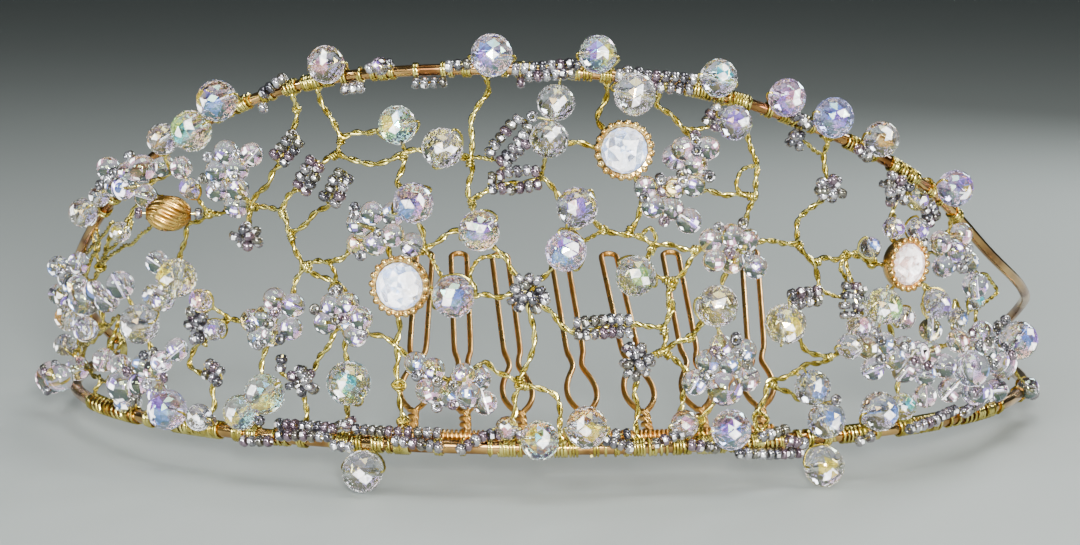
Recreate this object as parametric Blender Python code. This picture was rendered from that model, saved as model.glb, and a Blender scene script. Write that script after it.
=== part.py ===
# Tiara: two gilt rails on a half oval, an openwork of twisted wire sprigs between them, drilled
# crystals, bubble clusters of fused glass balls, three cut stones in cups and a wire hair comb.
# X points to the viewer's right, Y away from the viewer, Z up. Angles run from the front of the
# band, where Y is least, and positive angles lie on the right.

import math
import random

import bmesh
import bpy
import numpy as np
from mathutils import Euler, Matrix, Vector

MM = 0.001

# Band
HALF_WIDTH = 75.0 * MM
HALF_DEPTH = 68.0 * MM
WRAP = math.radians(108.0)
BASE_RAIL_RADIUS = 1.0 * MM
TOP_RAIL_RADIUS = 0.8 * MM
RAIL_STEPS = 26
RAIL_SIDES = 8
WIRE_SIDES = 5
REST_TILT = math.radians(2.0)

# Height of the top rail's centre line over that of the base rail
TOP_RAIL_HEIGHTS = [
    # degrees from the front, height in mm
    (-108, 2.1),
    (-90, 13.0),
    (-75, 20.0),
    (-60, 30.5),
    (-45, 41.0),
    (-30, 48.5),
    (-8, 51.8),
    (15, 49.0),
    (30, 43.0),
    (45, 34.5),
    (60, 23.0),
    (75, 16.0),
    (90, 11.0),
    (108, 2.1),
]

# Wire openwork, which runs just inside the rails' centre lines
GAP = 0.3 * MM
WIRE_RADIUS = 0.45 * MM
NET_PROUD = -1.0 * MM
KINK_PITCH = 8.0 * MM
KINK_SWAY = 1.0 * MM
RAIL_APPROACH = 3.2 * MM
KNOT_FROM_RAIL = 2.0 * MM
CHANCE_SEED = 7

# Beads, with sizes as shares of their radius where no unit is given
BORE_RADIUS = WIRE_RADIUS + GAP
BEAD_SIDES = 10
BEAD_HALF_LENGTH = 0.88
BEAD_BELT = 0.96
BEAD_BELT_HEIGHT = 0.27
FLUTED_SIDES = 16
FLUTED_HALF_LENGTH = 1.3
FLUTED_SHOULDER = 0.9
FLUTED_VALLEY = 0.82

# Balls of the bubble clusters, drawn together until they overlap and swollen a little to fuse
BALL_RINGS = 3
BALL_OVERLAP = 0.5 * MM
BALL_CLOSEST = 0.84
BALL_SWELL = 1.08
CLUSTER_LAYER = 0.9 * MM

# Stems from the openwork to the beads, and how pieces find room beside one another
STEM_BEYOND_BEAD = 0.5 * MM
SHORTEST_STEM = 1.2 * MM
LONGEST_STEM = 11.0 * MM
STEM_ROOM = 0.8 * GAP
PIECE_ROOM = 1.15 * GAP
SETTLE_ROUNDS = 60
SLIDE_SHARE = 1.5
STEEPEST_SEAT = 0.98

# Comb, on the inside of the band's front
COMB_FROM_X = -28.0 * MM
COMB_TO_X = 31.0 * MM
SPINE_RADIUS = 0.9 * MM
SPINE_PROUD = -1.95 * MM
SPINE_HEIGHT = 1.15 * MM
SPINE_STEPS = 12
TOOTH_BACK = 50.0 * MM
TOOTH_RISE = 20.7 * MM
TOOTH_WIRE_RADIUS = 0.45 * MM
TOOTH_STEM_RADIUS = 0.9 * MM
TOOTH_STEM_OVERLAP = 1.2 * MM
SMOOTH_ANGLE = math.radians(50)

TEETH = [
    # place along X in mm, lean of the tip along X in mm
    (-19.2, 0.0),
    (-11.7, -2.3),
    (-3.8, -4.0),
    (5.3, -4.1),
    (13.5, -4.7),
    (21.3, -2.9),
    (29.4, 1.5),
]

# Half outline of a tooth's wire loop, from the twisted stem over the leaf and the neck to the leg
TOOTH_OUTLINE = [
    # along the tooth in mm, half width in mm
    (5.5, 0.50),
    (9.5, 1.95),
    (14.5, 1.90),
    (19.0, 0.70),
    (22.5, 1.20),
    (51.5, 1.20),
]

# The view that the places below are read in: pixels to the right and down, camera sizes in mm
VIEW_DISTANCE = 400.0 * MM
VIEW_ELEVATION = math.radians(6.5)
VIEW_TARGET = Vector((-1.5, -68.0, 24.2)) * MM
VIEW_FOCAL_PX = 2941.0
VIEW_CENTRE_PX = (540.0, 272.5)

# Crystals that sit on the top rail, from left to right
TOP_CRYSTALS = [
    # across, down, diameter in mm
    (222, 100, 6.0),
    (195, 131, 6.0),
    (330, 64, 5.4),
    (492, 55, 6.0),
    (596, 54, 5.4),
    (636, 94, 6.0),
    (714, 77, 5.4),
    (781, 96, 5.4),
    (827, 116, 5.8),
    (874, 137, 5.2),
    (947, 186, 5.4),
]

# Crystals on stems in the openwork
NET_CRYSTALS = [
    # across, down, diameter in mm
    (397, 125, 5.5),
    (442, 148, 5.8),
    (413, 203, 5.8),
    (479, 231, 5.8),
    (576, 212, 5.8),
    (567, 247, 5.8),
    (453, 297, 6.0),
    (636, 276, 5.8),
    (718, 306, 6.0),
    (786, 324, 6.0),
    (884, 306, 5.6),
    (1019, 340, 6.0),
    (348, 383, 6.4),
    (139, 324, 6.0),
    (176, 278, 6.0),
]

# Crystals on the base rail, the last two hanging below it
BASE_CRYSTALS = [
    # across, down, diameter in mm
    (729, 429, 5.8),
    (587, 419, 6.0),
    (540, 439, 5.6),
    (170, 409, 6.0),
    (880, 406, 5.8),
    (828, 467, 6.0),
    (361, 472, 6.0),
]

# Pairs of crystals that touch
CRYSTAL_PAIRS = [
    # across, down, diameter in mm for each of the two
    [(557, 102, 5.8), (550, 139, 6.0)],
    [(815, 388, 5.8), (829, 420, 6.2)],
    [(263, 393, 6.2), (236, 414, 5.4)],
]

# Cut stones in their cups
CUT_STONES = [
    # across, down, stone diameter in mm, cup diameter in mm
    (624, 150, 6.8, 8.0),
    (400, 286, 7.1, 8.4),
    (907, 264, 6.4, 7.6),
]
STONE_SIDES = 12
STONE_FACE = 2.0 * MM

# Rings of a stone and its cup, from the back
STONE_RINGS = [
    # share of the cup's radius, share of the stone's radius, height in mm, turn in steps
    (0.55, 0.0, 0.0, 0.0),
    (1.0, 0.0, 1.3, 0.0),
    (1.0, 0.0, 2.3, 0.0),
    (0.5, 0.5, 2.8, 0.0),
    (0.0, 1.0, 2.4, 0.0),
    (0.0, 0.86, 3.2, 0.5),
    (0.0, 0.56, 3.8, 0.0),
]

FLUTED_BEAD = (172, 213, 5.2)

# Bubble clusters, from left to right, each ball given by its place and diameter
BALL = 3.3
CLUSTERS = [
    # across, down, diameter in mm for each ball
    [(60, 378, 5.2), (76, 386, BALL), (94, 370, 4.4)],
    [(74, 278, BALL), (99, 291, BALL), (122, 273, BALL), (94, 307, BALL), (105, 329, 5.0)],
    [(113, 167, 3.6), (139, 149, BALL), (158, 163, 4.0), (136, 189, 3.6), (131, 212, BALL)],
    [(143, 365, BALL), (166, 357, BALL), (166, 372, BALL), (138, 386, BALL), (115, 386, 5.2)],
    [(226, 152, 3.6), (215, 173, BALL), (240, 173, BALL), (237, 196, BALL), (217, 198, BALL)],
    [(274, 299, BALL), (263, 319, BALL), (245, 340, BALL), (277, 347, BALL), (295, 327, BALL)],
    [(332, 304, BALL), (353, 303, BALL), (325, 324, BALL), (362, 319, BALL), (353, 342, BALL)],
    [(358, 224, BALL), (378, 209, BALL), (358, 247, BALL), (381, 245, BALL), (398, 233, BALL)],
    [(416, 363, BALL), (439, 371, BALL), (463, 371, BALL), (427, 396, 3.6), (452, 396, BALL),
     (476, 395, 3.6)],
    [(646, 187, BALL), (656, 212, BALL), (674, 179, BALL), (700, 184, BALL), (679, 209, BALL),
     (697, 160, BALL), (680, 144, BALL), (712, 143, BALL)],
    [(711, 240, BALL), (735, 234, BALL), (758, 243, BALL), (715, 264, BALL), (740, 263, BALL)],
    [(721, 352, BALL), (742, 360, BALL), (705, 370, BALL), (730, 368, BALL), (726, 390, 5.0)],
    [(868, 348, BALL), (892, 342, BALL), (916, 335, BALL), (925, 354, BALL), (947, 352, BALL),
     (899, 368, BALL)],
    [(939, 242, BALL), (961, 232, BALL), (945, 262, BALL), (955, 252, BALL)],
    [(978, 332, BALL), (985, 355, BALL), (963, 350, BALL), (967, 374, 5.4), (973, 397, 4.4),
     (1009, 380, 4.0), (1040, 386, 4.6)],
]

# Knots of the openwork: across, down. A name with rail in it is where a sprig meets a rail, and
# its height comes from the rail.
KNOTS = {
    "top_rail_a": (293, 97), "a1": (290, 148), "a2": (251, 207), "a3": (246, 238),
    "a4": (209, 214), "a5": (188, 224), "a6": (179, 270), "a7": (281, 209), "a8": (308, 172),
    "a9": (339, 153), "a10": (290, 232), "a11": (330, 205), "a12": (344, 173),
    "a13": (303, 266), "a14": (292, 300), "a15": (274, 325), "a16": (232, 319),
    "a17": (203, 328), "a18": (190, 365), "a19": (212, 378), "a20": (343, 258),
    "a21": (376, 230), "a22": (344, 289), "a23": (344, 320), "a24": (228, 178),
    "a25": (141, 320), "a26": (157, 362), "a27": (150, 185), "a28": (131, 215),
    "a29": (90, 284), "a30": (105, 325), "a31": (304, 383), "a32": (80, 366),
    "top_rail_b": (165, 158), "base_rail_a": (152, 412), "base_rail_b": (255, 436),
    "base_rail_c": (304, 439), "base_rail_o": (95, 395), "base_rail_p": (210, 429),
    "top_rail_c": (318, 92), "c1": (342, 136), "c3": (395, 128), "c5": (374, 164),
    "c6": (405, 152), "c7": (446, 152), "c8": (397, 182), "c9": (413, 203),
    "top_rail_d": (487, 84), "c10": (471, 122), "c11": (470, 157),
    "c14": (471, 199), "c15": (492, 188), "c16": (541, 178),
    "c17": (574, 212), "c19": (479, 230), "c20": (450, 232),
    "c21": (425, 247), "c22": (402, 275), "c23": (396, 345), "c24": (505, 257),
    "c25": (529, 294), "c26": (566, 250), "c27": (534, 345), "c28": (520, 378),
    "c29": (572, 332), "c30": (602, 328), "c31": (634, 324), "c32": (664, 326),
    "c33": (672, 282), "c34": (700, 250), "c35": (733, 252), "c36": (604, 230),
    "c37": (628, 235), "c38": (654, 245), "c39": (638, 274), "c40": (643, 199),
    "c41": (677, 188), "top_rail_e": (607, 84), "c42": (597, 118), "c43": (622, 150),
    "c45": (550, 139), "top_rail_f": (659, 95), "c46": (682, 128),
    "c47": (696, 150), "top_rail_g": (745, 100), "c48": (745, 128), "c49": (757, 165),
    "c50": (755, 197), "c51": (772, 241), "c52": (796, 242), "c53": (797, 222),
    "c54": (829, 190), "top_rail_h": (828, 128), "c55": (813, 263), "c56": (818, 288),
    "c57": (787, 322), "c58": (846, 255), "c60": (872, 263),
    "c61": (905, 264), "c62": (889, 228), "c63": (896, 190), "top_rail_i": (893, 158),
    "c64": (805, 350), "c65": (833, 356), "c66": (858, 338), "c67": (895, 348),
    "c68": (795, 372), "c69": (768, 382), "c70": (758, 410), "base_rail_d": (757, 440),
    "c71": (800, 400), "c72": (820, 392), "c73": (884, 306), "base_rail_f": (905, 428),
    "c75": (948, 247), "top_rail_j": (955, 212), "c76": (975, 345), "c77": (1012, 342),
    "base_rail_g": (985, 410), "c78": (664, 351), "c79": (690, 338), "c80": (716, 308),
    "c81": (690, 378), "base_rail_h": (677, 440), "c82": (722, 360), "c83": (720, 390),
    "base_rail_i": (702, 440), "c84": (637, 363), "base_rail_j": (637, 440),
    "c85": (399, 385), "base_rail_k": (401, 440), "c86": (448, 380), "c87": (485, 362),
    "c88": (520, 385), "base_rail_l": (510, 440), "c89": (555, 395), "base_rail_m": (560, 440),
    "c90": (453, 297), "c91": (348, 383), "base_rail_n": (345, 440),
}

# Each sprig runs from knot to knot
SPRIGS = [
    "top_rail_a a1 a2 a3",
    "a2 a4 a5 a6 a25 a26 base_rail_a",
    "a2 a24",
    "a2 a7 a8 a9",
    "a7 a10 a11 a12",
    "a10 a13 a14 a15 base_rail_b",
    "a15 a16 a17 a18 a19 base_rail_p",
    "a13 a20 a21 c22",
    "a13 a22 a23 a31 base_rail_c",
    "a27 a28 a29 a30 a25",
    "a30 a32 base_rail_o",
    "a5 a27 top_rail_b",
    "a23 c91",
    "top_rail_c c1 c3",
    "c1 a9 c5 c6 c7",
    "c6 c8 c9",
    "top_rail_d c10 c11 c7",
    "c11 c14 c15 c16 c17 c26",
    "c14 c19 c20 c21 c9",
    "c21 c22 c23 c85 base_rail_k",
    "c22 c90 c25",
    "a23 c23 c86 c87 c88 base_rail_l",
    "c88 c89 base_rail_m",
    "c19 c24 c25 c26",
    "c25 c27 c28 c88",
    "c25 c29 c30 c31 c32 c33 c34 c35",
    "c17 c36 c37 c38 c34",
    "c38 c39 c33",
    "c37 c40 c41 c50",
    "top_rail_e c42 c43",
    "c45 c43 c40",
    "top_rail_f c46 c47 c41",
    "top_rail_g c48 c49 c50 c35 c51 c52 c53 c54 top_rail_h",
    "c52 c55 c56 c57 c64 c65 c66 c67",
    "c55 c58 c60 c61 c62 c63 top_rail_i",
    "c65 c68 c69 c70 base_rail_d",
    "c69 c71 c72",
    "c67 c73 c61 c75 top_rail_j",
    "c67 base_rail_f",
    "c67 c76 c77",
    "c76 base_rail_g",
    "c35 c80 c82 c83 base_rail_i",
    "c32 c78 c79 c80",
    "c78 c81 base_rail_h",
    "c78 c84 base_rail_j",
    "c91 base_rail_n",
]


# Places on the band

def rail_height(angle):
    angles = np.radians([row[0] for row in TOP_RAIL_HEIGHTS])
    heights = np.array([row[1] for row in TOP_RAIL_HEIGHTS]) * MM
    slopes = np.gradient(heights, angles)
    angle = min(max(angle, angles[0]), angles[-1])
    i = min(int(np.searchsorted(angles, angle, side="right")) - 1, len(angles) - 2)
    step = angles[i + 1] - angles[i]
    t = (angle - angles[i]) / step
    return float((2 * t**3 - 3 * t**2 + 1) * heights[i] + (t**3 - 2 * t**2 + t) * step * slopes[i]
                 + (3 * t**2 - 2 * t**3) * heights[i + 1] + (t**3 - t**2) * step * slopes[i + 1])


def outward(angle):
    return Vector((math.sin(angle) / HALF_WIDTH, -math.cos(angle) / HALF_DEPTH, 0.0)).normalized()


def wall_point(angle, height, proud=0.0):
    on_wall = Vector((HALF_WIDTH * math.sin(angle), -HALF_DEPTH * math.cos(angle), height))
    return on_wall + outward(angle) * proud


def wall_speed(angle):
    return math.hypot(HALF_WIDTH * math.cos(angle), HALF_DEPTH * math.sin(angle))


def wall_place(point):
    # the angle, height and proud distance of a point near the wall
    angle = math.atan2(point.x / HALF_WIDTH, -point.y / HALF_DEPTH)
    for _ in range(4):
        foot = wall_point(angle, point.z)
        along = Vector((math.cos(angle) * HALF_WIDTH, math.sin(angle) * HALF_DEPTH, 0.0))
        angle += (point - foot).dot(along) / along.length_squared
    return angle, point.z, (point - wall_point(angle, point.z)).dot(outward(angle))


def seen_at(across, down, proud=0.0):
    # angle and height of the point seen at a pixel of the view, on the wall grown by proud
    toward = Vector((0.0, math.cos(VIEW_ELEVATION), -math.sin(VIEW_ELEVATION)))
    up = Vector((0.0, math.sin(VIEW_ELEVATION), math.cos(VIEW_ELEVATION)))
    eye = VIEW_TARGET - toward * VIEW_DISTANCE
    ray = toward.copy()
    ray.x += (across - VIEW_CENTRE_PX[0]) / VIEW_FOCAL_PX
    ray -= up * ((down - VIEW_CENTRE_PX[1]) / VIEW_FOCAL_PX)
    wide, deep = HALF_WIDTH + proud, HALF_DEPTH + proud
    qa = (ray.x / wide) ** 2 + (ray.y / deep) ** 2
    qb = 2 * (eye.x * ray.x / wide**2 + eye.y * ray.y / deep**2)
    qc = (eye.x / wide) ** 2 + (eye.y / deep) ** 2 - 1
    root = math.sqrt(max(qb * qb - 4 * qa * qc, 0.0))
    hit = eye + ray * ((-qb - root) / (2 * qa))
    return math.atan2(hit.x / wide, -hit.y / deep), hit.z


def spot(across, down, proud):
    angle, height = seen_at(across, down, proud)
    return wall_point(angle, height, proud)


def rail_point(rail, angle):
    return wall_point(angle, rail_height(angle) if rail == "top" else 0.0)


def rail_line(rail):
    return [rail_point(rail, WRAP * (2 * i / RAIL_STEPS - 1)) for i in range(RAIL_STEPS + 1)]


def rail_radius(rail):
    return TOP_RAIL_RADIUS if rail == "top" else BASE_RAIL_RADIUS


def segment_distance(start, end, point):
    run = end - start
    t = 0.0 if run.length_squared == 0 else (point - start).dot(run) / run.length_squared
    return (start + run * min(max(t, 0.0), 1.0) - point).length


def line_distance(line, point):
    return min(segment_distance(a, b, point) for a, b in zip(line, line[1:]))


# Meshes

def round_section(radius, sides):
    curve = bpy.data.curves.new("section", "CURVE")
    spline = curve.splines.new("POLY")
    spline.points.add(sides - 1)
    for i, slot in enumerate(spline.points):
        angle = 2 * math.pi * i / sides
        slot.co = (radius * math.cos(angle), radius * math.sin(angle), 0.0, 1.0)
    spline.use_cyclic_u = True
    return bpy.data.objects.new("section", curve)


def tube_mesh(points, radius, sides=WIRE_SIDES):
    # a round wire along points, with closed ends
    section = round_section(radius, sides)
    curve = bpy.data.curves.new("wire", "CURVE")
    curve.dimensions = "3D"
    curve.bevel_mode = "OBJECT"
    curve.bevel_object = section
    curve.use_fill_caps = True
    spline = curve.splines.new("POLY")
    spline.points.add(len(points) - 1)
    for slot, point in zip(spline.points, points):
        slot.co = (*point, 1.0)
    holder = bpy.data.objects.new("wire", curve)
    bpy.context.scene.collection.objects.link(holder)
    evaluated = holder.evaluated_get(bpy.context.evaluated_depsgraph_get())
    mesh = bpy.data.meshes.new_from_object(evaluated)
    bpy.data.objects.remove(holder)
    bpy.data.objects.remove(section)
    shape = bmesh.new()
    shape.from_mesh(mesh)
    bmesh.ops.remove_doubles(shape, verts=shape.verts, dist=0.001 * MM)
    bmesh.ops.recalc_face_normals(shape, faces=shape.faces)
    shape.to_mesh(mesh)
    shape.free()
    return mesh


def ring_stack(rings, sides, closed=False):
    # rings are (radius, height, turn in steps, every other radius), bridged one to the next
    shape = bmesh.new()
    loops = []
    for radius, height, turn, inner in rings:
        loop = []
        for i in range(sides):
            angle = (i + turn) * 2 * math.pi / sides
            reach = inner if i % 2 else radius
            place = (reach * math.cos(angle), reach * math.sin(angle), height)
            loop.append(shape.verts.new(place))
        loops.append(loop)
    pairs = list(zip(loops, loops[1:]))
    if closed:
        pairs.append((loops[-1], loops[0]))
    for lower, upper in pairs:
        for i in range(sides):
            j = (i + 1) % sides
            shape.faces.new((lower[i], lower[j], upper[j]))
            shape.faces.new((lower[i], upper[j], upper[i]))
    if not closed:
        shape.faces.new(loops[0])
        shape.faces.new(loops[-1])
    bmesh.ops.recalc_face_normals(shape, faces=shape.faces)
    mesh = bpy.data.meshes.new("rings")
    shape.to_mesh(mesh)
    shape.free()
    return mesh


def plain_ring(radius, height, turn=0.0):
    return radius, height, turn, radius


def bead_mesh(radius):
    # a drilled bead, its bore along Z, with staggered rings of facets
    half = BEAD_HALF_LENGTH * radius
    belt, belt_height = BEAD_BELT * radius, BEAD_BELT_HEIGHT * radius
    rings = [
        plain_ring(BORE_RADIUS, -half),
        plain_ring(belt, -belt_height, 0.5),
        plain_ring(belt, belt_height, 0.0),
        plain_ring(BORE_RADIUS, half, 0.5),
    ]
    return ring_stack(rings, BEAD_SIDES, closed=True)


def fluted_mesh(radius):
    # a drilled gold bead with eight flutes
    half = FLUTED_HALF_LENGTH * radius
    shoulder = FLUTED_SHOULDER * radius
    rings = [
        plain_ring(BORE_RADIUS, -half),
        (shoulder, -half / 2, 0.0, shoulder * FLUTED_VALLEY),
        (radius, 0.0, 0.0, radius * FLUTED_VALLEY),
        (shoulder, half / 2, 0.0, shoulder * FLUTED_VALLEY),
        plain_ring(BORE_RADIUS, half),
    ]
    return ring_stack(rings, FLUTED_SIDES, closed=True)


def stone_mesh(stone_radius, cup_radius):
    # a cup with a raised rim and a stone with crown facets and a table, from the back at Z = 0
    rings = [plain_ring(of_cup * cup_radius + of_stone * stone_radius, height * MM, turn)
             for of_cup, of_stone, height, turn in STONE_RINGS]
    return ring_stack(rings, STONE_SIDES)


def ball_mesh(radius, centre, turn):
    shape = bmesh.new()
    bmesh.ops.create_uvsphere(shape, u_segments=BEAD_SIDES, v_segments=BALL_RINGS,
                              radius=radius * BALL_SWELL)
    place = Matrix.Translation(centre) @ turn.to_matrix().to_4x4()
    bmesh.ops.transform(shape, matrix=place, verts=shape.verts)
    mesh = bpy.data.meshes.new("ball")
    shape.to_mesh(mesh)
    shape.free()
    return mesh


def fused(name, meshes):
    # one closed body from overlapping closed meshes, by a Boolean union
    scene_objects = bpy.context.scene.collection.objects
    first = bpy.data.objects.new(name, meshes[0])
    scene_objects.link(first)
    others = bpy.data.collections.new("others")
    bpy.context.scene.collection.children.link(others)
    for mesh in meshes[1:]:
        others.objects.link(bpy.data.objects.new("other", mesh))
    union = first.modifiers.new("union", "BOOLEAN")
    union.operation = "UNION"
    union.operand_type = "COLLECTION"
    union.collection = others
    union.solver = "EXACT"
    evaluated = first.evaluated_get(bpy.context.evaluated_depsgraph_get())
    body = bpy.data.meshes.new_from_object(evaluated)
    for other in list(others.objects):
        bpy.data.objects.remove(other)
    bpy.data.collections.remove(others)
    bpy.data.objects.remove(first)
    shape = bmesh.new()
    shape.from_mesh(body)
    bmesh.ops.triangulate(shape, faces=shape.faces)
    shape.to_mesh(body)
    shape.free()
    return body


# Pieces and where they settle

class Piece:
    # balls are the spheres that the piece keeps to itself, as [centre, radius]
    def __init__(self, name, kind, balls, rail=None, stone_radius=None):
        self.name = name
        self.kind = kind
        self.balls = balls
        self.rail = rail
        self.stone_radius = stone_radius
        if rail:
            self.seat_on_rail()

    @property
    def centre(self):
        return self.balls[0][0]

    @property
    def radius(self):
        return self.balls[0][1]

    def move(self, step):
        for ball in self.balls:
            ball[0] = ball[0] + step

    def rail_frame(self):
        # the rail's point beside the piece, with the directions along, out from and up across it
        near = 0.01
        before = rail_point(self.rail, self.angle - near)
        after = rail_point(self.rail, self.angle + near)
        tangent = (after - before).normalized()
        normal = outward(self.angle)
        up = normal.cross(tangent)
        return rail_point(self.rail, self.angle), tangent, normal, up if up.z > 0 else -up

    def seat_on_rail(self):
        # rests on the rail at the tilt round it that shows it where it was read
        self.angle = wall_place(self.centre)[0]
        foot, _, normal, up = self.rail_frame()
        reach = rail_radius(self.rail) + self.radius + GAP
        rise = (self.centre - foot).dot(up) / reach
        net_limit = math.sqrt(max(1 - ((self.radius + least_proud()) / reach) ** 2, 0.0))
        if self.rail == "top":
            rise = min(max(rise, -net_limit), STEEPEST_SEAT)
        else:
            rise = min(max(rise, -STEEPEST_SEAT), net_limit)
        self.tilt = math.asin(rise)
        self.slide(0.0)

    def slide(self, along):
        self.angle += along / wall_speed(self.angle)
        foot, _, normal, up = self.rail_frame()
        reach = rail_radius(self.rail) + self.radius + GAP
        place = foot + (normal * math.cos(self.tilt) + up * math.sin(self.tilt)) * reach
        self.balls[0][0] = place


def least_proud():
    # how far a ball's inner side stays from the wall so that it clears the openwork
    return NET_PROUD + WIRE_RADIUS + GAP


def bead_piece(name, kind, row, rail=None):
    across, down, diameter = row
    radius = diameter * MM / 2
    proud = radius + least_proud()
    return Piece(name, kind, [[spot(across, down, proud), radius]], rail)


def gathered(rows, layer):
    # balls read from the view, each drawn to its nearest placed neighbour until they overlap
    balls = []
    for index, (across, down, diameter) in enumerate(rows):
        radius = diameter * MM / 2
        proud = radius + least_proud() + layer * (index % 2)
        balls.append([spot(across, down, proud), radius])
    placed = [balls[0]]
    waiting = balls[1:]
    while waiting:
        near = min(((b, p) for b in waiting for p in placed),
                   key=lambda pair: (pair[0][0] - pair[1][0]).length - pair[0][1] - pair[1][1])
        ball, parent = near
        apart = ball[0] - parent[0]
        most = ball[1] + parent[1] - BALL_OVERLAP
        least = BALL_CLOSEST * (ball[1] + parent[1])
        ball[0] = parent[0] + apart.normalized() * min(max(apart.length, least), most)
        placed.append(ball)
        waiting.remove(ball)
    return balls


def all_pieces():
    pieces = []
    for i, row in enumerate(TOP_CRYSTALS, 1):
        pieces.append(bead_piece(f"crystal_top_{i}", "bead", row, "top"))
    for i, row in enumerate(NET_CRYSTALS, 1):
        pieces.append(bead_piece(f"crystal_net_{i}", "bead", row))
    for i, row in enumerate(BASE_CRYSTALS, 1):
        pieces.append(bead_piece(f"crystal_base_{i}", "bead", row, "base"))
    for i, rows in enumerate(CRYSTAL_PAIRS, 1):
        pieces.append(Piece(f"crystal_pair_{i}", "cluster", gathered(rows, 0.0)))
    for i, (across, down, stone, cup) in enumerate(CUT_STONES, 1):
        radius = cup * MM / 2
        face = spot(across, down, least_proud() + STONE_FACE)
        place = face + outward(wall_place(face)[0]) * (radius - STONE_FACE)
        pieces.append(Piece(f"stone_{i}", "stone", [[place, radius]], stone_radius=stone * MM / 2))
    pieces.append(bead_piece("fluted_bead", "fluted", FLUTED_BEAD))
    for i, rows in enumerate(CLUSTERS, 1):
        pieces.append(Piece(f"cluster_{i:02d}", "cluster", gathered(rows, CLUSTER_LAYER)))
    return pieces


def keep_reach(piece):
    # the sphere round a piece's ball: the fluted bead is longer than it is wide
    return FLUTED_HALF_LENGTH if piece.kind == "fluted" else 1.0


def push_apart(pieces):
    for i, one in enumerate(pieces):
        for other in pieces[i + 1:]:
            for a in one.balls:
                for b in other.balls:
                    reach = a[1] * keep_reach(one) + b[1] * keep_reach(other) + PIECE_ROOM
                    apart = a[0] - b[0]
                    if apart.length < reach:
                        step = apart.normalized() * (reach - apart.length)
                        shift(one, step * 0.5)
                        shift(other, step * -0.5)


def shift(piece, step):
    # a piece on a rail can only slide along it, and goes a little further for that
    if piece.rail:
        tangent = piece.rail_frame()[1]
        piece.slide(SLIDE_SHARE * step.dot(tangent))
    else:
        piece.move(step)


def clear_wall_and_rails(piece, rails):
    if piece.rail:
        return
    for ball in piece.balls:
        angle, _, proud = wall_place(ball[0])
        short = ball[1] * keep_reach(piece) + least_proud() - proud
        if short > 0:
            piece.move(outward(angle) * short)
    for rail, line in rails.items():
        for ball in piece.balls:
            reach = ball[1] * keep_reach(piece) + rail_radius(rail) + GAP
            nearest = min(line, key=lambda point: (point - ball[0]).length)
            near = line_distance(line, ball[0])
            if near < reach:
                piece.move((ball[0] - nearest).normalized() * (reach - near))


def settle(pieces, rails):
    for _ in range(SETTLE_ROUNDS):
        push_apart(pieces)
        for piece in pieces:
            clear_wall_and_rails(piece, rails)


# Openwork

def rail_end(name):
    rail = name.split("_")[0]
    angle = seen_at(*KNOTS[name])[0]
    side = -1.0 if rail == "top" else 1.0
    stop = rail_radius(rail) + WIRE_RADIUS + GAP
    height = rail_point(rail, angle).z
    return angle, height, side, stop


def knot_place(name):
    angle, height = seen_at(*KNOTS[name], NET_PROUD)
    lowest = BASE_RAIL_RADIUS + KNOT_FROM_RAIL
    highest = rail_height(angle) - TOP_RAIL_RADIUS - KNOT_FROM_RAIL
    return angle, max(min(height, highest), lowest)


def kinked(start, end, rng):
    # a crooked run of wire between two places on the wall, without its last point
    angle_run, height_run = end[0] - start[0], end[1] - start[1]
    speed = wall_speed((start[0] + end[0]) / 2)
    length = math.hypot(angle_run * speed, height_run)
    kinks = max(1, round(length / KINK_PITCH))
    across = Vector((-height_run, angle_run * speed)) / max(length, 1e-9)
    side = rng.choice((-1, 1))
    places = [start]
    for i in range(1, kinks):
        sway = side * KINK_SWAY * rng.uniform(0.5, 1.15)
        side = -side
        t = (i + rng.uniform(-0.15, 0.15)) / kinks
        places.append((start[0] + angle_run * t + across.x * sway / speed,
                       start[1] + height_run * t + across.y * sway))
    return places


def sprig_line(sprig, rng):
    names = sprig.split()
    places = []
    tips = {}
    for name in names:
        if "rail" in name:
            angle, height, side, stop = rail_end(name)
            places.append((angle, height + side * RAIL_APPROACH))
            tips[name] = wall_point(angle, height + side * stop)
        else:
            places.append(knot_place(name))
    path = []
    for start, end in zip(places, places[1:]):
        path += kinked(start, end, rng)
    path.append(places[-1])
    points = [wall_point(angle, height, NET_PROUD) for angle, height in path]
    if names[0] in tips:
        points.insert(0, tips[names[0]])
    if names[-1] in tips:
        points.append(tips[names[-1]])
    return points


def stem_is_clear(start, end, target, pieces, rails):
    # the target is the one ball that the stem may come close to
    for other in pieces:
        for ball in other.balls:
            if ball is target:
                continue
            reach = ball[1] * keep_reach(other) + WIRE_RADIUS + STEM_ROOM
            if segment_distance(start, end, ball[0]) < reach:
                return False
    for rail, line in rails.items():
        reach = rail_radius(rail) + WIRE_RADIUS + GAP
        if min(segment_distance(start, end, point) for point in line) < reach:
            return False
    return True


def stem_for(piece, net_points, pieces, rails):
    # the shortest clear wire from the openwork to a piece: through a bead's bore, or up to a ball
    choices = []
    for ball in piece.balls:
        for point in net_points:
            apart = ball[0] - point
            direction = apart.normalized()
            reach = ball[1] * keep_reach(piece)
            if piece.kind == "cluster":
                least = reach
                end = ball[0] - direction * (reach + GAP)
            else:
                least = reach + SHORTEST_STEM
                end = ball[0] + direction * (reach * BEAD_HALF_LENGTH + STEM_BEYOND_BEAD)
            if not least < apart.length < LONGEST_STEM:
                continue
            if stem_is_clear(point, end, ball, pieces, rails):
                choices.append((apart.length, tuple(point), tuple(end)))
    if not choices:
        return None
    _, start, end = min(choices)
    return Vector(start), Vector(end)


# Sub-parts

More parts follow.
